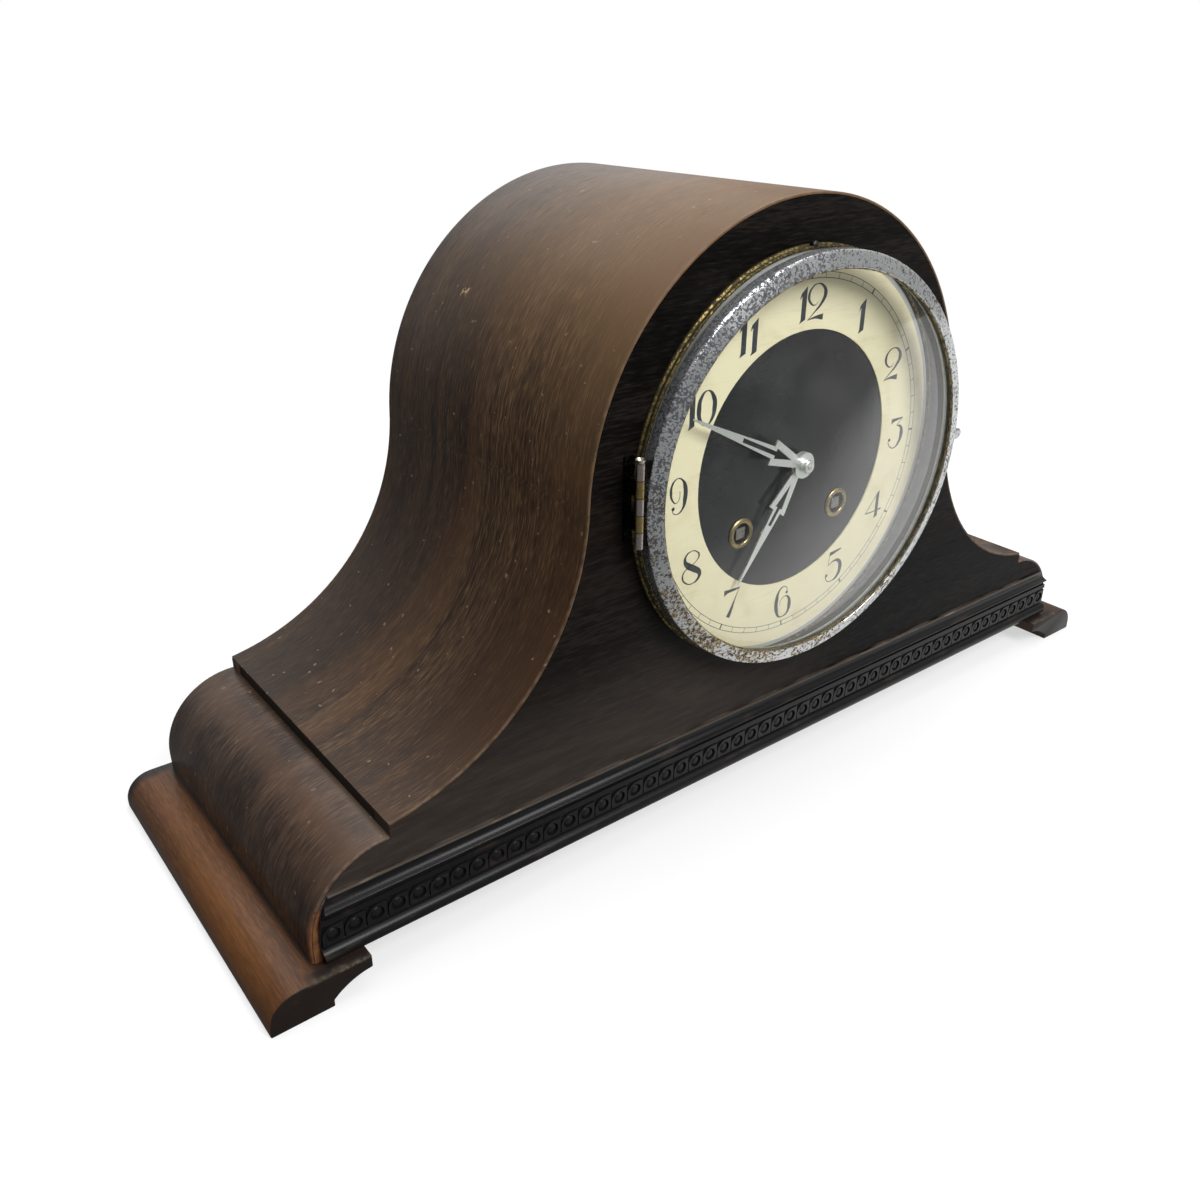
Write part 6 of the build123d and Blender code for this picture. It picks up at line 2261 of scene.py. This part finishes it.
@dataclass
class BackDoor(Assembly):
    """Back door with its knob and hinge screws.

    Attributes:
        knob: Place of the knob.
        knob_profile: Profile of the knob.
        knob_ease: Width of the round on its edges.
        hinge_x: Place of the hinges across the back.
        hinge_z: Heights of the hinges' middles.
        leaf: Distance of the screws from the hinge axis.
        leaf_face: How far the leaves' faces stand behind the back.
        screw_gap: Half the distance between a leaf's two screws.
        screw: Profile of a screw's head.
    """

    knob: Vector = Vector((0.05, BACK, 0.09265))
    knob_profile: Pairs = (
        (0.0, 0.0), (0.0042, 0.0), (0.0042, 0.0007), (0.003, 0.0012), (0.003, 0.0038), (0.0044, 0.0044),
        (0.006, 0.0056), (0.006, 0.0072), (0.0048, 0.0085), (0.002, 0.009), (0.0, 0.009),
    )
    knob_ease: float = 0.0003
    hinge_x: float = -0.062
    hinge_z: Pair = (0.06466, 0.125305)
    leaf: float = 0.0058
    leaf_face: float = 0.0008
    screw_gap: float = 0.0055
    screw: Pairs = ((0.0, 0.0005), (0.0008, 0.00045), (0.0014, 0.0), (0.0, -0.0004))

    dressing = {
        "back_door": BACK_WOOD,
        "door_knob": DOOR_BRASS,
        "door_hinge_fixed": DOOR_BRASS,
        "door_hinge_moving": DOOR_BRASS,
        "door_hinge_pins": STEEL,
    }

    def build(self) -> list[Piece]:
        """Makes the knob and the screws of both leaves."""
        return [self.turned_knob(), self.screws("door", Side.RIGHT), self.screws("case", Side.LEFT)]

    def turned_knob(self) -> Piece:
        """Makes the turned brass knob.

        Returns:
            The knob.
        """
        work = Workpiece()
        work.turn(self.knob_profile, self.knob, False, 40)
        work.ease(self.knob_ease, 20.0)
        return work.done("turned_door_knob", "door", DOOR_BRASS, ["door_knob"])

    def screws(self, body: str, side: Side) -> Piece:
        """Makes the screw heads on one side's leaves.

        Args:
            body: The body that carries the leaves.
            side: The side of the hinges on which they lie.

        Returns:
            The screws.
        """
        work = Workpiece()
        across = self.hinge_x + side.value * self.leaf
        for height in self.hinge_z:
            for gap in (-self.screw_gap, self.screw_gap):
                centre = Vector((across, BACK + self.leaf_face, height + gap))
                work.turn(self.screw, centre, False, 14)
        return work.done(f"hinge_screws_{body}", body, STEEL)


@dataclass(frozen=True)
class Lamp:
    """One soft square lamp.

    Attributes:
        name: Its name.
        place: Where it hangs.
        aim: What it points at.
        size: Length of its side.
        power: Its power in watts.
    """

    name: str
    place: Point
    aim: Point
    size: float
    power: float

    def build(self) -> None:
        """Hangs the lamp."""
        data = bpy.data.lights.new(self.name, "AREA")
        data.shape = "SQUARE"
        data.size = self.size
        data.energy = self.power
        lamp = bpy.data.objects.new(self.name, data)
        way = Vector(self.aim) - Vector(self.place)
        lamp.matrix_world = Matrix.Translation(self.place) @ way.to_track_quat("-Z", "Y").to_matrix().to_4x4()
        bpy.context.scene.collection.objects.link(lamp)


@dataclass
class Studio:
    """Camera, floor, lamps and sky.

    Attributes:
        eye: Place of the camera.
        turn: Its angle round the clock.
        tilt: Its angle over the floor.
        roll: Its roll.
        lens: Focal length.
        sensor: Width of the sensor, in millimetres as the focal length.
        lamps: The lamps.
        floor_half: Half the floor's width.
        paper: Greys of the floor in the light that it throws back and as the camera sees it.
        mirrored_floor: Greys of the floor in mirrors, before the clock and to its right.
        white_floor: Distances from the clock over which the floor turns white.
        light: Greys of the sky as a lamp, from its darkest side to its brightest.
        mirrored_sky: Greys of the sky in mirrors, with their places between those sides.
    """

    eye: Vector = Vector((-0.28932, -0.31756, 0.2729))
    turn: float = -0.66109
    tilt: float = 0.46688
    roll: float = 0.00558
    lens: float = 32.03
    sensor: float = 36.0
    lamps: tuple[Lamp, ...] = (
        Lamp("overhead", (0.1, 0.3, 1.3), (0.0, 0.0, 0.08), 1.3, 11.0),
        Lamp("behind", (0.5, 1.1, 0.8), (0.0, 0.0, 0.12), 0.9, 1.6),
        Lamp("front", (0.1, -1.05, 1.0), (0.0, 0.0, 0.12), 0.7, 18.0),
    )
    floor_half: float = 6.0
    paper: Pairs = ((0.0, 0.22), (1.0, 0.86))
    mirrored_floor: Pairs = ((0.0, 0.14), (1.0, 1.0))
    white_floor: Pair = (0.25, 0.9)
    light: Pairs = ((0.0, 0.12), (1.0, 0.85))
    mirrored_sky: Pairs = ((0.0, 0.16), (0.6, 0.35), (1.0, 0.8))

    def build(self) -> None:
        """Makes all of the studio."""
        bpy.context.scene.view_settings.view_transform = "Standard"
        self.camera()
        self.floor()
        self.sky()
        for lamp in self.lamps:
            lamp.build()

    def camera(self) -> None:
        """Puts the camera at the photograph's angle."""
        data = bpy.data.cameras.new("camera")
        data.sensor_width = self.sensor
        data.lens = self.lens
        data.clip_start = 0.01
        camera = bpy.data.objects.new("camera", data)
        back = Vector(
            (
                math.sin(self.turn) * math.cos(self.tilt),
                -math.cos(self.turn) * math.cos(self.tilt),
                math.sin(self.tilt),
            )
        )
        right = Vector((math.cos(self.turn), math.sin(self.turn), 0.0))
        up = back.cross(right)
        aim = Matrix((right, up, back)).transposed().to_4x4()
        camera.matrix_world = Matrix.Translation(self.eye) @ aim @ Matrix.Rotation(self.roll, 4, "Z")
        bpy.context.scene.collection.objects.link(camera)
        bpy.context.scene.camera = camera

    def greys(self, graph: Graph, value: Socket, steps: Pairs) -> Socket:
        """Ramp of greys over a value."""
        return graph.ramp(value, [(place, (grey,) * 3) for place, grey in steps])

    def path(self, graph: Graph, kind: str) -> Socket:
        """1 for rays of a kind, else 0."""
        return graph.node("ShaderNodeLightPath", output=f"Is {kind} Ray")

    def direct(self, graph: Graph) -> Socket:
        """1 for rays from the camera or through glass, else 0."""
        return self.path(graph, "Camera").most(self.path(graph, "Transmission"))

    def floor(self) -> None:
        """Lays a pale floor that keeps the clock's shadow."""
        shape = bmesh.new()
        bmesh.ops.create_grid(shape, x_segments=1, y_segments=1, size=self.floor_half)
        mesh = bpy.data.meshes.new("floor")
        shape.to_mesh(mesh)
        shape.free()
        paint = bpy.data.materials.new("pale_floor")
        paint.use_nodes = True
        self.shade_floor(Graph(paint.node_tree))
        mesh.materials.append(paint)
        floor = bpy.data.objects.new("floor", mesh)
        bpy.context.scene.collection.objects.link(floor)

    def shade_floor(self, graph: Graph) -> None:
        """Paints the floor white for the camera but for the shadow, and grey for the clock.

        Args:
            graph: The floor material's graph.
        """
        tone = self.greys(graph, self.path(graph, "Camera"), self.paper)
        paper = graph.node("ShaderNodeBsdfDiffuse", {}, {"Color": tone})
        place = graph.place()
        across = graph.part(place, "X")
        away = graph.node("ShaderNodeVectorMath", {"operation": "LENGTH"}, {0: place}, "Value")
        far = away.rise(*self.white_floor)
        right = across.rise(-0.15, 0.05) * (graph.part(place, "Y") + across * 0.6).rise(-0.32, -0.08)
        mirror = self.path(graph, "Glossy")
        shown = graph.blend(mirror, WHITE, self.greys(graph, right, self.mirrored_floor))
        white = graph.node("ShaderNodeEmission", {}, {"Color": shown, "Strength": 1.0})
        share = self.direct(graph) * (far * 0.4 + 0.6) + mirror * 0.9
        graph.end(graph.node("ShaderNodeMixShader", {}, {0: share, 1: paper, 2: white}))

    def sky(self) -> None:
        """Makes white surroundings that light the clock mostly from above and behind."""
        world = bpy.data.worlds.new("studio")
        world.use_nodes = True
        bpy.context.scene.world = world
        graph = Graph(world.node_tree)
        way = graph.node("ShaderNodeTexCoord", output="Generated")
        lean = graph.part(way, "X") * 0.25 + graph.part(way, "Y") * 0.35 + graph.part(way, "Z") * 0.5
        light = self.greys(graph, lean.rise(-0.45, 0.7), self.light)
        mirrored = self.greys(graph, lean.rise(-0.2, 0.65), self.mirrored_sky)
        shown = graph.blend(self.path(graph, "Glossy"), light, mirrored)
        glow = graph.node("ShaderNodeBackground", {}, {"Color": shown})
        white = graph.node("ShaderNodeBackground", {}, {"Color": WHITE, "Strength": 1.0})
        mixed = graph.node("ShaderNodeMixShader", {}, {0: self.direct(graph), 1: glow, 2: white})
        graph.end(mixed, "ShaderNodeOutputWorld")


def main() -> None:
    """Builds and dresses the clock, then the studio."""
    logging.basicConfig(level=logging.INFO, format="%(message)s")
    for assembly in (Case(), Moulding(), Dial(), Bezel(), Hands(), Movement(), BackDoor()):
        for piece in assembly.build():
            log.info("%s rides on %s", piece.name, body_of(piece)[0])
        assembly.dress()
    Studio().build()


if __name__ == "__main__":
    main()
